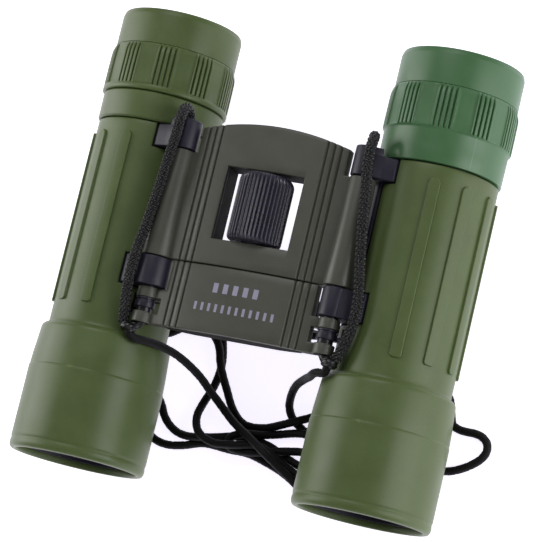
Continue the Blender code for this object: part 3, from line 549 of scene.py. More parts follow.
def lay_down(points, r):
    """A later run of the cord lies over an earlier one, in a long low hump."""
    step = (points[1] - points[0]).length
    d = 2.0 * r
    gap = int(3.2 * d / step)
    slope = 0.30 * step
    base = [p.z for p in points]
    lift = [0.0] * len(points)
    for i, p in enumerate(points):
        h = base[i] + lift[i]
        for _ in range(3):
            for j in range(0, i - gap):
                q = points[j]
                dist = math.hypot(p.x - q.x, p.y - q.y)
                zj = base[j] + lift[j]
                if dist < d * 0.97 and zj < h + 0.9 * d:
                    h = max(h, zj + math.sqrt(d * d - dist * dist))
        lift[i] = h - base[i]
        k = i
        while k > 0 and lift[k - 1] < lift[k] - slope:
            lift[k - 1] = lift[k] - slope
            k -= 1
        if i + 1 < len(points):
            lift[i + 1] = max(0.0, lift[i] - slope)
    n = len(points)
    out = []
    for i in range(n):
        w = [base[q] + lift[q] for q in (min(max(i + k, 0), n - 1) for k in (-2, -1, 0, 1, 2))]
        out.append(max(r, 0.1 * w[0] + 0.2 * w[1] + 0.4 * w[2] + 0.2 * w[3] + 0.1 * w[4]))
    return [Vector((p.x, p.y, h)) for p, h in zip(points, out)]


def smooth_run(points, rounds=2):
    for _ in range(rounds):
        pts = [points[0]]
        for a, b, c in zip(points, points[1:], points[2:]):
            pts.append(a * 0.25 + b * 0.5 + c * 0.25)
        points = pts + [points[-1]]
    return points


run = lay_down(spline(CORD_PATH, 1.0), CORD_R)
run = [Vector((25.6, 32.4, 30.3)), Vector((25.2, 31.4, 30.1))] + run + \
    [Vector((-25.2, 31.4, 30.1)), Vector((-25.6, 32.4, 30.3))]
run = spline([tuple(p) for p in run[::2]] + ([tuple(run[-1])] if (len(run) - 1) % 2 else []), 0.42)
cord_len = sum((b - a).length for a, b in zip(run, run[1:])) * 0.001
vf = braided(run, CORD_R + 0.04, 8, 4.4, 0.13, around=18)
neck = piece("neck_cord_braid", vf, CORD, "bridge", ["neck_cord"], angle=180.0)
path = [P(*p) for p in run[::3]] + [P(*run[-1])]
P(*run[0])

STRAP = {
    "left": [(0.0, 0.0, 34.4), (0.0, 0.0, 60.0), (0.0, 0.0, 83.0), (0.05, 0.1, 84.9), (0.25, 0.7, 86.3),
             (0.35, 2.2, 87.1), (0.4, 3.9, 86.4), (0.45, 4.8, 84.4), (0.5, 4.85, 80.0), (1.0, 4.8, 74.0),
             (1.7, 4.6, 66.0), (2.7, 4.3, 57.0), (3.5, 4.4, 51.0), (3.8, 4.2, 46.5), (3.9, 3.6, 42.0),
             (3.9, 2.7, 38.0), (3.9, 1.9, 35.7)],
    "right": [(0.0, 0.0, 34.4), (0.0, 0.0, 60.0), (0.0, 0.0, 83.0), (0.05, 0.1, 84.9), (0.5, 0.7, 86.3),
              (1.1, 2.1, 87.1), (1.6, 3.7, 86.4), (1.75, 4.55, 84.4), (1.9, 4.5, 80.0), (2.7, 4.1, 74.0), (3.7, 3.6, 66.0),
              (5.0, 3.0, 57.0), (6.1, 2.6, 51.0), (6.6, 2.4, 46.5), (6.4, 2.2, 42.0), (5.6, 1.9, 38.0),
              (4.9, 1.7, 35.7)],
}
for side, s in SIDES:
    ctrl = [(s * (XH + u), y, ZH + v) for u, v, y in STRAP[side] + [(3.9, 1.2, 33.6)]]
    pts = spline(ctrl, 0.16)
    vf = braided(pts, 1.36, 8, 5.0, 0.62, around=64)
    piece("strap_braid_" + side, vf, BRAID, "bridge", ["strap_loop_" + side], angle=180.0)
    # overhand knot: two tight turns of the cord and its tucked end
    kx, kz = s * (XH + 2.5), ZH + 0.8
    turns = []
    for k in range(49):
        a = 2 * math.pi * 1.9 * k / 48 + 0.6
        rr = 1.12 + 0.08 * math.sin(3 * a)
        turns.append((kx + rr * math.sin(a), 32.3 + 1.1 * k / 48, kz + rr * math.cos(a)))
    knot = Shells()
    knot.add(braided(spline(turns, 0.2), 0.95, 8, 5.0, 0.22, around=28))
    knot.add(lathe(rounded([(0.0, 31.75, 0), (1.25, 31.9, 0.5), (1.3, 33.8, 0.5), (0.0, 34.1, 0)], False), kx, kz, 24))
    tail = [(s * XH, 35.4, ZH), (s * (XH + 0.5), 34.2, ZH + 0.1), (s * (XH + 1.6), 33.2, ZH + 0.5)]
    knot.add(braided(spline(tail, 0.2), 1.22, 8, 5.4, 0.3, around=28))
    piece("strap_knot_braid_" + side, knot, BRAID, "bridge", ["strap_knot_" + side], angle=180.0)


# ------------------------------------------------------------------------------------------------------- barrels
RIBS = {"left": (4.4, 35.8, 67.0, 98.4, 130.0), "right": (16.5, 48.4, 79.8, 111.0, 142.5)}
HOLES = ((22.6, 62.0, 43.0, 50.65), (22.6, 62.0, 77.1, 84.0), (HANG - 8.0, HANG + 8.0, 50.0, 78.0),
         (HANG - 5.8, HANG + 5.8, 36.8, 41.8))


def armour(cx, s):
    head = [(14.76, 1.45), (14.75, 1.15), (14.77, 0.7), (14.83, 0.36), (14.94, 0.12), (15.1, 0.01), (15.4, 0.0),
            (15.8, 0.02), (16.1, 0.12), (16.34, 0.34), (16.5, 0.66), (16.58, 1.0), (16.62, 1.4), (16.62, 1.9),
            (16.54, 2.2), (16.5, 2.4), (16.52, 2.6), (16.62, 2.85), (16.65, 3.3), (16.65, 8.0), (16.65, 12.0),
            (16.65, 16.0), (16.65, 20.0), (16.65, 20.5), (16.62, 20.62), (16.52, 20.72), (16.5, 20.9), (16.53, 21.2),
            (16.40, 24.0), (16.19, 27.0),
            (16.0, 29.8), (15.96, 30.3), (15.88, 30.65), (15.7, 30.95), (15.4, 31.15), (15.05, 31.28), (14.8, 31.42),
            (14.63, 31.62), (14.53, 31.95)]
    ys = lines([33.0 + 2.0 * k for k in range(26)], [36.8, 41.8, 43.0, 50.0, 50.65, 77.1, 78.0], (0.05, 0.14, 0.30))
    ys = [y for y in ys if 32.3 < y < 82.4]
    stations = head + [(R_MAIN, 32.5)] + [(R_MAIN, y) for y in ys if y > 32.6] + \
        [(14.5, 82.45), (14.47, 82.65), (14.4, 82.83), (14.27, 82.95), (14.1, 83.0)]
    m = len(stations)
    marks = [22.6, 62.0, HANG - 8.0, HANG + 8.0, HANG - 5.8, HANG + 5.8]
    k = math.degrees(1.0 / R_MAIN)
    us = [u for u in lines([2.5 * i for i in range(144)], marks, (0.05 * k, 0.14 * k, 0.30 * k)) if 0.0 <= u < 360.0]

    def keep(u, v):
        y = stations[int(v)][1] * 0.5 + stations[int(v) + 1][1] * 0.5
        return not any(a0 < u < a1 and y0 < y < y1 for a0, a1, y0, y1 in HOLES)

    def hole_dist(u, y):
        d = 9.0
        for a0, a1, y0, y1 in HOLES:
            d = min(d, rect_dist(u / k, y, (a0 / k, a1 / k, y0, y1)))
        return d

    def top(u, v):
        r, y = stations[int(v)]
        if y > 33.0:
            r -= roll(hole_dist(u, y), 0.30)
        a = math.radians(u)
        return (cx - s * r * math.sin(a), y, ZB + r * math.cos(a))

    def bottom(u, v):
        r, y = stations[int(v)]
        if y < 1.5:
            y = 1.55 + 0.0005 * v
            r = min(max(r, 14.8), 15.36)
        elif y < 31.3:
            r = 15.36
        elif y < 32.0:
            r = 13.9
        else:
            r = 13.46
        a = math.radians(u)
        return (cx - s * r * math.sin(a), y, ZB + r * math.cos(a))

    return plate(us, list(range(m)), keep, top, bottom, wrap=True)


def rib(cx, s, ang, y0=36.85, y1=79.75, w=1.4):
    loops = ((14.2, -0.03), (14.50, -0.03), (14.56, 0.0), (14.80, 0.02), (15.00, 0.05), (15.07, 0.09),
             (15.11, 0.15), (15.12, 0.24))
    verts, faces = [], []
    cnt = 0
    for r, o in loops:
        pts = []
        wr = w - o
        for q in range(13):                     # rounded end towards the eyepiece
            a = math.pi * q / 12.0
            pts.append((wr * math.cos(a), y1 - w + wr * math.sin(a)))
        c = 0.75
        rc = c - o
        side = [y1 - w - (y1 - w - y0 - c) * q / 8.0 for q in range(1, 8)]
        pts += [(-wr, y) for y in side]
        for q in range(7):
            a = math.pi + 0.5 * math.pi * q / 6.0
            pts.append((-(w - c) + rc * math.cos(a), y0 + c + rc * math.sin(a)))
        for q in range(7):
            a = 1.5 * math.pi + 0.5 * math.pi * q / 6.0
            pts.append(((w - c) + rc * math.cos(a), y0 + c + rc * math.sin(a)))
        pts += [(wr, y) for y in reversed(side)]
        cnt = len(pts)
        for t, y in pts:
            b = math.radians(ang) + t / 15.0
            verts.append((cx + s * r * math.sin(b), y, ZB + r * math.cos(b)))
    m = len(loops)
    for j in range(m - 1):
        for i in range(cnt):
            q = (i + 1) % cnt
            faces.append((j * cnt + i, j * cnt + q, (j + 1) * cnt + q, (j + 1) * cnt + i))
    e = (m - 1) * cnt
    # strips across the top: the outline is symmetric about its long axis
    left = list(range(6, 27))
    right = [(6 - (i - 6)) % cnt for i in left]
    for a in range(len(left) - 1):
        quad = [e + left[a], e + left[a + 1], e + right[a + 1], e + right[a]]
        quad = [quad[i] for i in range(4) if quad[i] != quad[i - 1]]
        if len(quad) > 2:
            faces.append(tuple(quad))
    faces.append(tuple(reversed(range(cnt))))
    return verts, faces


LUG = [(-0.9, 3.15), (2.2, 2.6), (4.6, 1.4), (7.4, 0.5)]


def lug_outline(s):
    pts = [(u, v, 0.8) for u, v in LUG[:-1]] + [(LUG[-1][0], LUG[-1][1], 0.3)]
    dx, dz = XB - XH, ZH - ZB
    for a in range(24, 61, 3):
        q = math.radians(a)
        pts.append((dx - 13.05 * math.sin(q), -dz + 13.05 * math.cos(q), 0.0))
    pts += [(-2.25, -2.4, 0.6), (-3.15, -0.9, 0.6), (-2.6, 2.0, 0.6)]
    pts = rounded(pts, True, 3)
    return [(s * (XH + u), ZH + v) for u, v in pts]


def tube_ring(cx, cz, r0, r1, y0, y1, f=0.25, n=64, r1b=None):
    r1b = r1 if r1b is None else r1b
    return lathe(rounded([(r0, y0, 0.08), (r1, y0, f), (r1b, y1, f), (r0, y1, 0.08)]), cx, cz, n)


GROUPS = 10
for side, s in SIDES:
    cx = s * XB
    body = BODY[side]
    sh = Shells().add(armour(cx, s))
    for ang in RIBS[side]:
        sh.add(rib(cx, s, ang))
    piece("armour_skin_" + side, sh, OLIVE, body, ["barrel_armour_" + side], angle=42.0)

    # black body: tube, lugs and the fin between them
    q = math.radians(HANG)
    d = Vector((-s * math.sin(q), math.cos(q)))
    w = Vector((math.cos(q), s * math.sin(q)))

    def local(r, t):
        return (cx + d[0] * r + w[0] * t, ZB + d[1] * r + w[1] * t)

    sh = Shells()
    sh.add(lathe(rounded([(15.3, 1.6, 0.2), (15.3, 30.5, 0.2), (13.4, 31.4, 0.2), (13.4, 82.9, 0.15), (13.0, 83.2, 0.1),
                          (13.0, 99.6, 0.2), (11.9, 99.6, 0.2), (11.9, 84.0, 0.2), (12.7, 83.4, 0.2), (12.7, 31.0, 0.3),
                          (14.3, 30.2, 0.3), (14.3, 1.6, 0.2)]), cx, ZB, 128))
    for y0, y1 in ((43.3, 50.35), (77.4, 82.85)):
        sh.add(bar(lug_outline(s), y0, y1, 0.3))
    upper = [(u, v) for u, v in ((x - s * XH, z - ZH) for x, z in lug_outline(s))]
    tip = [p for p in [(s * (XH + u), ZH + v) for u, v in ((-2.9, 1.2), (-0.9, 3.05), (2.2, 2.5), (4.1, 1.55),
                                                          (3.6, 0.9), (2.6, -1.2), (0.0, -2.9), (-2.4, -2.0))]]
    sh.add(bar(rounded([(x, z, 0.8) for x, z in tip], True, 3), 82.0, 84.6, 0.3))
    for y0, y1, rk in ((43.3, 50.35, 4.1 if s < 0 else 3.3), (77.4, 84.6, 3.3)):
        sh.add(tube_ring(s * XH, ZH, 1.95, rk, y0, y1, 0.3, 96))
    fin = [local(r, t) for r, t in ((13.0, -1.5), (13.0, 1.5), (14.6, 1.4), (14.95, 1.0), (14.95, -1.0), (14.6, -1.4))]
    sh.add(bar(rounded([(x, z, 0.3) for x, z in fin], True, 3), 50.0, 77.8, 0.1))
    piece("barrel_frame_" + side, sh, BLACK, body, ["barrel_body_" + side], angle=42.0)

    # objective cell, lens and retainer, with the focus collar on the hinge tube
    cell = body.replace("barrel", "cell")
    sh = Shells()
    sh.add(lathe(rounded([(12.5, 8.6), (14.15, 8.6, 0.2), (14.15, 26.0, 0.2), (11.7, 26.0), (11.7, 24.6), (12.0, 24.2),
                          (12.0, 16.0), (12.5, 15.6)]), cx, ZB, 96))
    strip = [local(r, t) for r, t in ((11.75, -1.9), (11.75, 1.9), (12.4, 1.9), (12.4, -1.9))]
    sh.add(bar(strip, 25.2, 40.4, 0.12))
    piece("cell_tube_" + side, sh, INNER, cell, ["objective_cell_" + side])
    lens = [(0.0, 9.4)]
    for k in range(1, 9):
        r = 12.35 * k / 8.0
        lens.append((r, 9.4 + 2.1 * (r / 12.35) ** 2))
    lens += [(12.35, 13.2)]
    for k in range(7, 0, -1):
        r = 12.35 * k / 8.0
        lens.append((r, 15.5 - 2.3 * (r / 12.35) ** 2))
    lens.append((0.0, 15.5))
    piece("objective_glass_" + side, lathe(lens, cx, ZB, 96), LENS, cell, ["objective_lens_" + side])
    ring = lathe(rounded([(11.9, 7.9, 0.1), (12.4, 7.75, 0), (12.45, 7.95, 0), (12.9, 7.85, 0), (12.95, 7.62, 0),
                          (14.1, 7.2, 0.15), (14.1, 8.4, 0.1), (11.9, 8.4, 0.1)]), cx, ZB, 96)
    piece("lock_ring_" + side, ring, INNER, cell, ["objective_retainer_" + side])
    sh = Shells()
    sh.add(lathe(rounded([(1.95, 38.05, 0.05), (2.45, 38.05, 0.15), (2.45, 39.5, 0.04), (2.15, 39.53, 0.04),
                          (2.15, 40.0, 0.04), (2.45, 40.03, 0.04), (2.45, 40.45, 0.12), (1.95, 40.45, 0.05)]),
                 s * XH, ZH, 80))
    pin = [local(r, t) for r, t in ((12.55, -0.9), (12.55, 0.9), (16.6, 0.9), (16.6, -0.9))]
    sh.add(bar(rounded([(x, z, 0.25) for x, z in pin], True, 3), 38.2, 39.4, 0.15))
    piece("collar_ring_" + side, sh, BLACK, cell, ["focus_collar_" + side])

    # eyepiece
    ocular = "right_ocular" if side == "right" else "left_barrel"
    sh = lathe(rounded([(10.1, 79.0, 0.1), (11.75, 79.0, 0.2), (11.75, 101.2, 0.25), (9.0, 101.2, 0.2),
                        (9.0, 100.4, 0.1), (10.1, 99.9, 0.1)]), cx, ZB, 96)
    piece("ocular_" + side, sh, INNER, ocular, ["ocular_tube_" + side])
    eye = [(0.0, 94.6)] + [(9.95 * k / 6.0, 94.6 + 0.8 * (k / 6.0) ** 2) for k in range(1, 7)] + [(9.95, 97.0)] + \
        [(9.95 * k / 6.0, 99.3 - 2.3 * (k / 6.0) ** 2) for k in range(5, 0, -1)] + [(0.0, 99.3)]
    piece("eye_glass_" + side, lathe(eye, cx, ZB, 72), LENS, ocular, ["eye_lens_" + side])
    fld = [(0.0, 81.0)] + [(9.95 * k / 6.0, 81.0 + 1.6 * (k / 6.0) ** 2) for k in range(1, 7)] + [(9.95, 84.2)] + \
        [(9.95 * k / 6.0, 84.6 - 0.4 * (k / 6.0) ** 2) for k in range(5, 0, -1)] + [(0.0, 84.6)]
    piece("field_glass_" + side, lathe(fld, cx, ZB, 72), LENS, ocular, ["field_lens_" + side])

    phase = {"left": 16.3, "right": 10.8}[side]
    angles = []
    for g in range(GROUPS):
        c0 = phase + 36.0 * g
        k = -9.2
        while k <= 9.2001:
            best = min(abs(k - o) for o in (-6.9, -2.3, 2.3, 6.9))
            x = min(1.0, max(0.0, 1.0 - (best - 0.35) / 0.85))
            dep = 0.72 * (x * x * (3 - 2 * x))
            angles.append((math.radians(c0 + k), dep))
            k += 0.2
        for off, deep in ((9.35, 0.16), (9.5, 0.30), (9.8, 0.36)):
            angles.append((math.radians(c0 + off), deep))
            angles.append((math.radians(c0 + 36.0 - off), deep))
        for t in range(1, 8):
            off = 9.8 + (36.0 - 19.6) * t / 8.0
            sag = 15.5 * (1.0 - math.cos(math.radians(8.2)) / math.cos(math.radians(off - 18.0)))
            angles.append((math.radians(c0 + off), 0.36 + max(0.0, -sag) * 0.0 + 0.10 * (1 - abs(off - 18.0) / 8.2)))
    angles.sort()
    if side == "left":
        prof = [(13.4, 90.35, 0), (15.3, 90.35, 0), (15.47, 90.42, 0), (15.55, 90.6, 0), (15.58, 91.1, 0),
                (15.55, 91.45, 0), (15.47, 91.6, 0.0), (15.47, 91.75, 0.1), (15.52, 91.9, 0.8), (15.55, 92.1, 1),
                (15.55, 96.0, 1), (15.52, 99.7, 1), (15.45, 100.6, 1), (15.3, 101.2, 0.85), (15.16, 101.6, 0.4),
                (15.02, 101.95, 0.1), (14.9, 102.12, 0), (14.6, 102.2, 0), (13.4, 102.2, 0)]
        ringn, ringm, slotn = "grip_ring_left", OLIVE, "armour_olive"
        piece("grip_left", lathe_cut(prof, angles, cx, ZB), ringm, "left_barrel", [ringn], angle=50.0)
        col = lathe(rounded([(13.15, 83.3, 0.1), (14.6, 83.2, 0.25), (14.95, 83.6, 0.25), (15.0, 89.8, 0.2),
                             (14.8, 90.1, 0.15), (13.15, 90.1, 0.1)]), cx, ZB, 144)
        piece("collar_left", col, OLIVE, "left_barrel", ["eyepiece_collar_left"])
        cupm, cupb, slotc = OLIVE, "left_barrel", "armour_olive"
    else:
        prof = [(13.4, 83.35, 0), (14.7, 83.35, 0), (14.87, 83.42, 0), (14.92, 83.6, 0), (14.98, 87.0, 0),
                (15.05, 91.0, 0), (15.12, 91.3, 0), (15.3, 91.5, 0), (15.42, 91.62, 0.1), (15.52, 91.85, 0.8),
                (15.55, 92.1, 1), (15.55, 96.0, 1), (15.52, 99.7, 1), (15.45, 100.6, 1), (15.3, 101.2, 0.85),
                (15.16, 101.6, 0.4), (15.02, 101.95, 0.1), (14.9, 102.12, 0), (14.6, 102.2, 0), (13.4, 102.2, 0)]
        piece("dioptre_grip", lathe_cut(prof, angles, cx, ZB), GREEN, "dioptre_ring", ["diopter_ring_right"],
              angle=50.0)
        cupm, cupb, slotc = GREEN, "dioptre_ring", "dioptre_green"
    cup = lathe(rounded([(9.4, 102.45, 0.15), (14.0, 102.45, 0.0), (14.0, 102.22, 0.0), (14.92, 102.22, 0.06),
                         (14.95, 109.7, 0.5), (14.62, 111.0, 0.45),
                         (13.35, 111.0, 0.4), (12.7, 104.2, 0.6), (9.4, 103.3, 0.2)], True, 6), cx, ZB, 144)
    piece("cup_" + side, cup, cupm, cupb, ["eyecup_" + side])

    tube = lathe(rounded([(1.85, 34.6, 0.1), (1.85, 84.8, 0.15), (1.54, 84.8, 0.1), (1.54, 34.6, 0.08)]), s * XH, ZH, 64)
    piece("hinge_sleeve_" + side, tube, DARKSTEEL, "bridge", ["hinge_tube_" + side])


# ------------------------------------------------------------------------------------------------------- bridge
GROOVES = (13.5, 15.2, 16.9)
WINDOW = (-9.8, 9.8, 56.9, 74.7)


def crown(x):
    return ZH + 3.0 - 2.0 * (x / 19.0) ** 2


def groove(x):
    g = 0.0
    for c in GROOVES:
        t = abs(abs(x) - c)
        if t < 0.42:
            f = 1.0 - t / 0.42
            g = max(g, 0.55 * f * f * (3 - 2 * f))
    return g


def underside(x):
    ax = abs(x)
    table = [(0.0, -4.7), (11.0, -4.7), (14.0, -4.0), (16.0, -3.3), (17.3, -2.95), (20.0, -2.6)]
    for (a, za), (b, zb) in zip(table, table[1:]):
        if ax <= b:
            return ZH + za + (zb - za) * (ax - a) / (b - a)
    return ZH - 2.6


def cover(y0, y1, holes, reach, end=None, rho=0.28):
    offs = (0.04, 0.12, 0.28)
    xm = [-reach, reach]
    ym = [y0, y1]
    for a0, a1, b0, b1 in holes:
        xm += [v for v in (a0, a1) if abs(v) < reach]
        ym += [v for v in (b0, b1) if y0 < v < y1]
    base = [x * 1.0 for x in range(-20, 21)]
    for c in GROOVES:
        for t in (-0.42, -0.32, -0.2, -0.1, 0.0, 0.1, 0.2, 0.32, 0.42):
            base += [c + t, -c - t]
    xs = sorted(set(round(v, 4) for v in lines([], xm, offs) + base + [-17.52, -17.48, 17.48, 17.52]
                    if -reach - 1e-6 <= v <= reach + 1e-6))
    xs = [x for i, x in enumerate(xs) if i == 0 or x - xs[i - 1] > 0.015]
    vs = [v for v in lines([y0 + 2.0 * k for k in range(1, 30)], ym, offs) if y0 - 1e-6 <= v <= y1 + 1e-6]

    def keep(x, y):
        return not any(a0 < x < a1 and b0 < y < b1 for a0, a1, b0, b1 in holes)

    def dist(x, y):
        dd = min(x + reach, reach - x, y - y0, y1 - y)
        for h in holes:
            dd = min(dd, rect_dist(x, y, h))
        return dd

    def bend(x, y):
        if end is None or y < y0 + 3.0:
            return y
        return y + (end(x) - y1) * (y - y0 - 3.0) / (y1 - y0 - 3.0) if y > 76.6 or end is None else y

    def bowed(x, y):
        if end is None:
            return y
        f = max(0.0, (y - 77.0) / (y1 - 77.0))
        return y + (end(x) - y1) * f

    def top(x, y):
        return (x, bowed(x, y), crown(x) - groove(x) - roll(dist(x, y), rho))

    def bottom(x, y):
        z = ZH - 1.8 if abs(x) > 17.5 else crown(x) - 1.35
        return (x, bowed(x, y), z)

    return plate(xs, vs, keep, top, bottom)


def wall(xs, y0, y1, top, bottom):
    return plate(xs, [y0, y1], lambda x, y: True, lambda x, y: (x, y, top(x)), lambda x, y: (x, y, bottom(x)))


def bow(x):
    return 83.3 + 2.5 * max(0.0, 1.0 - (x / 19.0) ** 2)


inner_xs = [-17.2, -16.0, -14.0, -11.0, -5.0, 0.0, 5.0, 11.0, 14.0, 16.0, 17.2]
REACH = 20.6
NOTCH_UP = [(18.85, 40.0, 77.1, 99.0), (-40.0, -18.85, 77.1, 99.0)]
rear = Shells()
rear.add(cover(50.65, 83.3, [WINDOW] + NOTCH_UP, REACH, end=bow))
# near-black sheets around the window's inner walls: painted shade where these walls lie in shadow
shade_lining = Shells()
shade_lining.add(plate([-11.3, -9.86, 9.86, 11.3], [55.4, 56.84, 74.76, 76.2],
                 lambda x, y: not (abs(x) < 9.8 and 56.9 < y < 74.7),
                 lambda x, y: (x, y, crown(x) - 0.9), lambda x, y: (x, y, ZH - 5.0)))
shade_lining.add(plate([-9.98, -9.77, 9.77, 9.98], [56.72, 56.93, 74.67, 74.88],
                 lambda x, y: not (abs(x) < 9.7 and 57.0 < y < 74.6),
                 lambda x, y: (x, y, crown(x) - 0.32), lambda x, y: (x, y, crown(x) - 1.2)))
piece("window_shade_lining", shade_lining, SHADE_LINING, "bridge", [])
rear.add(block(-2.6, 2.6, 51.0, 56.0, ZH - 3.3, ZH - 1.85))
rear.add(block(-2.6, 2.6, 75.6, 80.9, ZH - 3.3, ZH - 1.85))
piece("rear_end_wall", Shells().add(wall(inner_xs, 81.4, 82.9, lambda x: crown(x) - 0.9, underside)), SHADE_LINING, "bridge", [])
for s in (-1, 1):
    rear.add(lathe(rounded([(1.95, 50.65, 0.1), (3.65, 50.65, 0.3), (3.15, 77.1, 0.3), (1.95, 77.1, 0.1)]), s * XH, ZH, 72))
piece("bridge_rear_shell", rear, SHELL, "bridge", ["bridge_eyepiece_section"], angle=40.0)

holes = []
for s, edge in ((-1, 18.0), (1, 18.85)):
    a, b = sorted((s * edge, s * 40.0))
    holes.append((a, b, 43.0, 52.0))
    a, b = sorted((s * 19.2, s * 40.0))
    holes.append((a, b, 36.95, 40.55))
front = Shells()
front.add(cover(34.4, 50.35, holes, 21.25))
piece("front_end_wall", Shells().add(wall(inner_xs, 34.45, 35.8, lambda x: crown(x) - 0.9, underside)), SHADE_LINING, "bridge",
      [])
for s in (-1, 1):
    for y0, y1 in ((34.4, 36.95), (40.55, 43.0)):
        front.add(tube_ring(s * XH, ZH, 1.95, 2.5, y0, y1, 0.2))
piece("bridge_front_shell", front, SHELL, "bridge", ["bridge_objective_section"], angle=40.0)

back_holes = [(-11.6, 11.6, 55.1, 76.5)]


def back_cover():
    offs = (0.05, 0.15, 0.3)
    xs = sorted(set(lines([], [-17.2, 17.2, -11.6, 11.6], offs) + inner_xs))
    xs = [x for x in xs if -17.21 < x < 17.21]
    ys = [y for y in lines([36.2 + 3.0 * k for k in range(1, 15)], [36.2, 81.0, 55.1, 76.5], offs) if 36.19 < y < 81.01]

    def keep(x, y):
        return not any(a0 < x < a1 and b0 < y < b1 for a0, a1, b0, b1 in back_holes)

    def low(x, y):
        dd = min(x + 17.2, 17.2 - x, y - 36.2, 81.0 - y, rect_dist(x, y, back_holes[0]))
        return (x, y, underside(x) + roll(dd, 0.3))

    return plate(xs, ys, keep, lambda x, y: (x, y, underside(x) + 1.15), low)


piece("back_plate", back_cover(), SHELL, "bridge", ["bridge_back_cover"])

for name, y in (("front", 53.2), ("rear", 78.8)):
    n = 40
    verts, faces = [], []
    steps = [(1.0, ZH - 2.0), (1.0, ZH - 4.8), (1.86, ZH - 4.85), (1.9, ZH - 4.95), (1.9, ZH - 5.2), (1.8, ZH - 5.33),
             (1.6, ZH - 5.4)]
    for r, z in steps:
        for i in range(n):
            a = 2 * math.pi * i / n
            verts.append((r * math.cos(a), y + r * math.sin(a), z))
    for j in range(len(steps) - 1):
        for i in range(n):
            q = (i + 1) % n
            faces.append((j * n + i, j * n + q, (j + 1) * n + q, (j + 1) * n + i))
    faces.append(tuple(range(n)))
    # cross recess: the head's face with a plus-shaped pocket
    c = len(verts)
    arm, half = 1.05, 0.22
    cross = [(arm, -half), (arm, half), (half, half), (half, arm), (-half, arm), (-half, half), (-arm, half),
             (-arm, -half), (-half, -half), (-half, -arm), (half, -arm), (half, -half)]
    zf = ZH - 5.4
    for x, v in cross:
        verts.append((x, y + v, zf))
    for x, v in cross:
        verts.append((x * 0.8, y + v * 0.8, zf + 0.55))
    for i in range(12):
        q = (i + 1) % 12
        faces.append((c + i, c + q, c + 12 + q, c + 12 + i))
    faces.append(tuple(c + 12 + i for i in range(12)))
    base = (len(steps) - 1) * n
    rim = [(base + i, math.atan2(verts[base + i][1] - y, verts[base + i][0])) for i in range(n)]
    for i in range(12):
        q = (i + 1) % 12
        a0 = math.atan2(cross[i][1], cross[i][0]) % (2 * math.pi)
        a1 = math.atan2(cross[q][1], cross[q][0]) % (2 * math.pi)
        if a1 < a0 - 1e-6:
            a1 += 2 * math.pi
        k0, k1 = int(round(a0 / (2 * math.pi) * n)), int(round(a1 / (2 * math.pi) * n))
        loop = [base + (k % n) for k in range(k0, k1 + 1)]
        if len(loop) > 1:
            faces.append(tuple(loop + [c + q, c + i]))
        else:
            faces.append((loop[0], c + q, c + i))
    piece("cover_screw_" + name, (verts, faces), STEEL, "bridge", ["bridge_screw_" + name])


# printed ornament on the front section: plain bars, no lettering
def print_bar(x0, x1, y0, y1):
    xs = [x0 + (x1 - x0) * k / 4.0 for k in range(5)]
    return plate(xs, [y0, y1], lambda x, y: True, lambda x, y: (x, y, crown(x) + 0.02),
                 lambda x, y: (x, y, crown(x) - 0.10))


marks = Shells()
for k in range(5):
    marks.add(print_bar(-6.0 + 2.55 * k, -6.0 + 2.55 * k + 1.25, 44.1, 46.4))
for k in range(12):
    marks.add(print_bar(-9.9 + 1.78 * k, -9.9 + 1.78 * k + 0.66, 39.5, 41.4))
piece("printed_bars", marks, PRINT, "bridge", [])


# ------------------------------------------------------------------------------------------------------- focusing
R_WHEEL = 6.6
TEETH = 40
angles = []
for i in range(TEETH):
    p = 2 * math.pi / TEETH
    for k in range(8):
        f = k / 8.0
        g = 0.5 - 0.5 * math.cos(2 * math.pi * f)
        angles.append((p * (i + f), 0.50 * g ** 1.2))
st = [(2.95, 57.35, 0), (5.5, 57.35, 0), (5.85, 57.4, 0.0), (6.1, 57.52, 0.2), (6.32, 57.75, 0.6), (6.5, 58.1, 1),
      (6.58, 58.5, 1), (6.6, 59.2, 1), (6.6, 66.0, 1), (6.6, 71.6, 1), (6.57, 72.3, 1), (6.45, 72.8, 1),
      (6.2, 73.25, 0.7), (5.85, 73.65, 0.2), (5.5, 73.88, 0), (5.2, 73.95, 0), (2.95, 73.95, 0)]
st = [(r * R_WHEEL / 6.6, y, q) for r, y, q in st]
piece("wheel_knurl", lathe_cut(st, angles, 0.0, ZH), WHEEL, "focus_wheel", ["focus_wheel_grip"],
      angle=60.0)
hub = lathe(rounded([(1.7, 57.2, 0.05), (2.7, 57.2, 0.1), (2.85, 57.45, 0.05), (2.85, 74.2, 0.2), (1.7, 74.2, 0.08)]),
            0.0, ZH, 64)
piece("wheel_hub", hub, BLACK, "focus_wheel", ["focus_wheel_hub"])
sp = [(0.0, 36.6), (0.85, 36.6)]
y = 37.0
while y < 53.2:                                   # rolled thread
    sp += [(1.1, y), (1.1, y + 0.12), (0.92, y + 0.25), (0.92, y + 0.33)]
    y += 0.45
sp += [(1.1, 53.6), (1.6, 54.0), (1.6, 79.0), (1.5, 79.25), (1.3, 79.4), (0.0, 79.4)]
piece("spindle", lathe(sp, 0.0, ZH, 48), STEEL, "focus_wheel", ["focus_spindle"])
half = [(3.0, 1.45), (6.0, -0.5), (16.7, -0.55), (16.7, -1.55), (12.0, -2.2), (6.0, -3.15)]
outline = [(x, ZH + z, 0.25) for x, z in half] + [(-x, ZH + z, 0.25) for x, z in reversed(half)]
sh = Shells().add(bar(rounded(outline, True, 3), 38.3, 40.9, 0.18))
sh.add(bar(rounded([(-2.9, ZH - 3.1, 0.3), (2.9, ZH - 3.1, 0.3), (2.9, ZH + 1.4, 0.3), (-2.9, ZH + 1.4, 0.3)], True, 3),
           40.0, 46.4, 0.2))
sh.add(block(-21.0, 21.0, 39.58, 39.95, ZH - 0.8, ZH - 0.05, 0.08))
piece("carriage", sh, DARKSTEEL, "focus_carriage", ["focus_crossbar"])

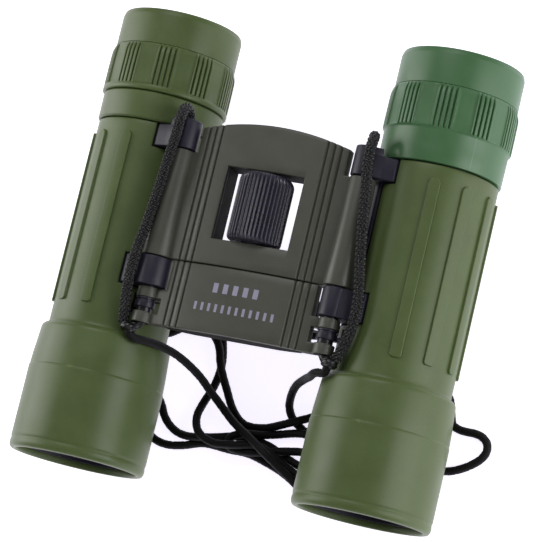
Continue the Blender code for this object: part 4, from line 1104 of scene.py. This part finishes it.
# ------------------------------------------------------------------------------------------------- carried-over CAD
KEEP = {"prism_cage": INNER, "field_stop": INNER, "roof_prism": PRISM, "schmidt_prism": PRISM}
for node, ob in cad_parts.items():
    for start, m in KEEP.items():
        if node.startswith(start):
            ob.data.materials.clear()
            ob.data.materials.append(m)

# ------------------------------------------------------------------------------------------------------- stage, light
fme = bpy.data.meshes.new("floor")
g = 3.0
fme.from_pydata([(-g, -g, -0.0002), (g, -g, -0.0002), (g, g, -0.0002), (-g, g, -0.0002)], [], [(0, 1, 2, 3)])
floor = bpy.data.objects.new("floor", fme)
bpy.context.scene.collection.objects.link(floor)
fm = bpy.data.materials.new("glowing_floor_paper")
fm.use_nodes = True
fb = fm.node_tree.nodes["Principled BSDF"]
fn = fm.node_tree.nodes.new("ShaderNodeTexNoise")
fn.inputs["Scale"].default_value = 6.0
fx = fm.node_tree.nodes.new("ShaderNodeMix")
fx.data_type = "RGBA"
fx.inputs[6].default_value = (0.90, 0.90, 0.905, 1.0)
fx.inputs[7].default_value = (0.93, 0.93, 0.93, 1.0)
fm.node_tree.links.new(fn.outputs["Fac"], fx.inputs[0])
fm.node_tree.links.new(fx.outputs[2], fb.inputs["Base Color"])
fb.inputs["Roughness"].default_value = 0.9
fb.inputs["Specular IOR Level"].default_value = 0.1
# painted light: the floor glows with a faint lavender light of its own, which washes out the shadows, lights the
# undersides and leaves the shaded floor lavender
fb.inputs["Emission Color"].default_value = (0.88, 0.84, 0.96, 1.0)
fb.inputs["Emission Strength"].default_value = 1.0
floor.data.materials.append(fm)

world = bpy.data.worlds.new("studio")
bpy.context.scene.world = world
world.use_nodes = True
bg = world.node_tree.nodes["Background"]
bg.inputs["Color"].default_value = (0.97, 0.98, 1.0, 1.0)
bg.inputs["Strength"].default_value = 0.16
bpy.context.scene.view_settings.view_transform = "Standard"


def area(name, at, to, size, power, colour=(1, 1, 1), size_y=None):
    ld = bpy.data.lights.new(name, "AREA")
    ld.energy = power
    ld.color = colour
    ld.size = size
    if size_y is not None:
        ld.shape = "RECTANGLE"
        ld.size_y = size_y
    ob = bpy.data.objects.new(name, ld)
    bpy.context.scene.collection.objects.link(ob)
    ob.location = at
    ob.rotation_euler = (Vector(to) - Vector(at)).to_track_quat("-Z", "Y").to_euler()
    return ob


area("soft_left", (-0.80, 0.05, 0.30), (0.0, 0.0, 0.02), 0.45, 4.2, (1.0, 0.99, 0.98), 0.8)
area("soft_right", (0.85, 0.0, 0.30), (0.0, 0.0, 0.02), 0.45, 4.2, (0.98, 0.99, 1.0), 0.8)
area("soft_top", (-0.10, 0.55, 0.85), (0.0, 0.0, 0.0), 0.5, 2.3, (1.0, 1.0, 1.0), 0.3)
area("soft_front", (0.1, -0.85, 0.45), (0.0, 0.0, 0.0), 0.7, 0.5, (1.0, 1.0, 1.0), 0.4)
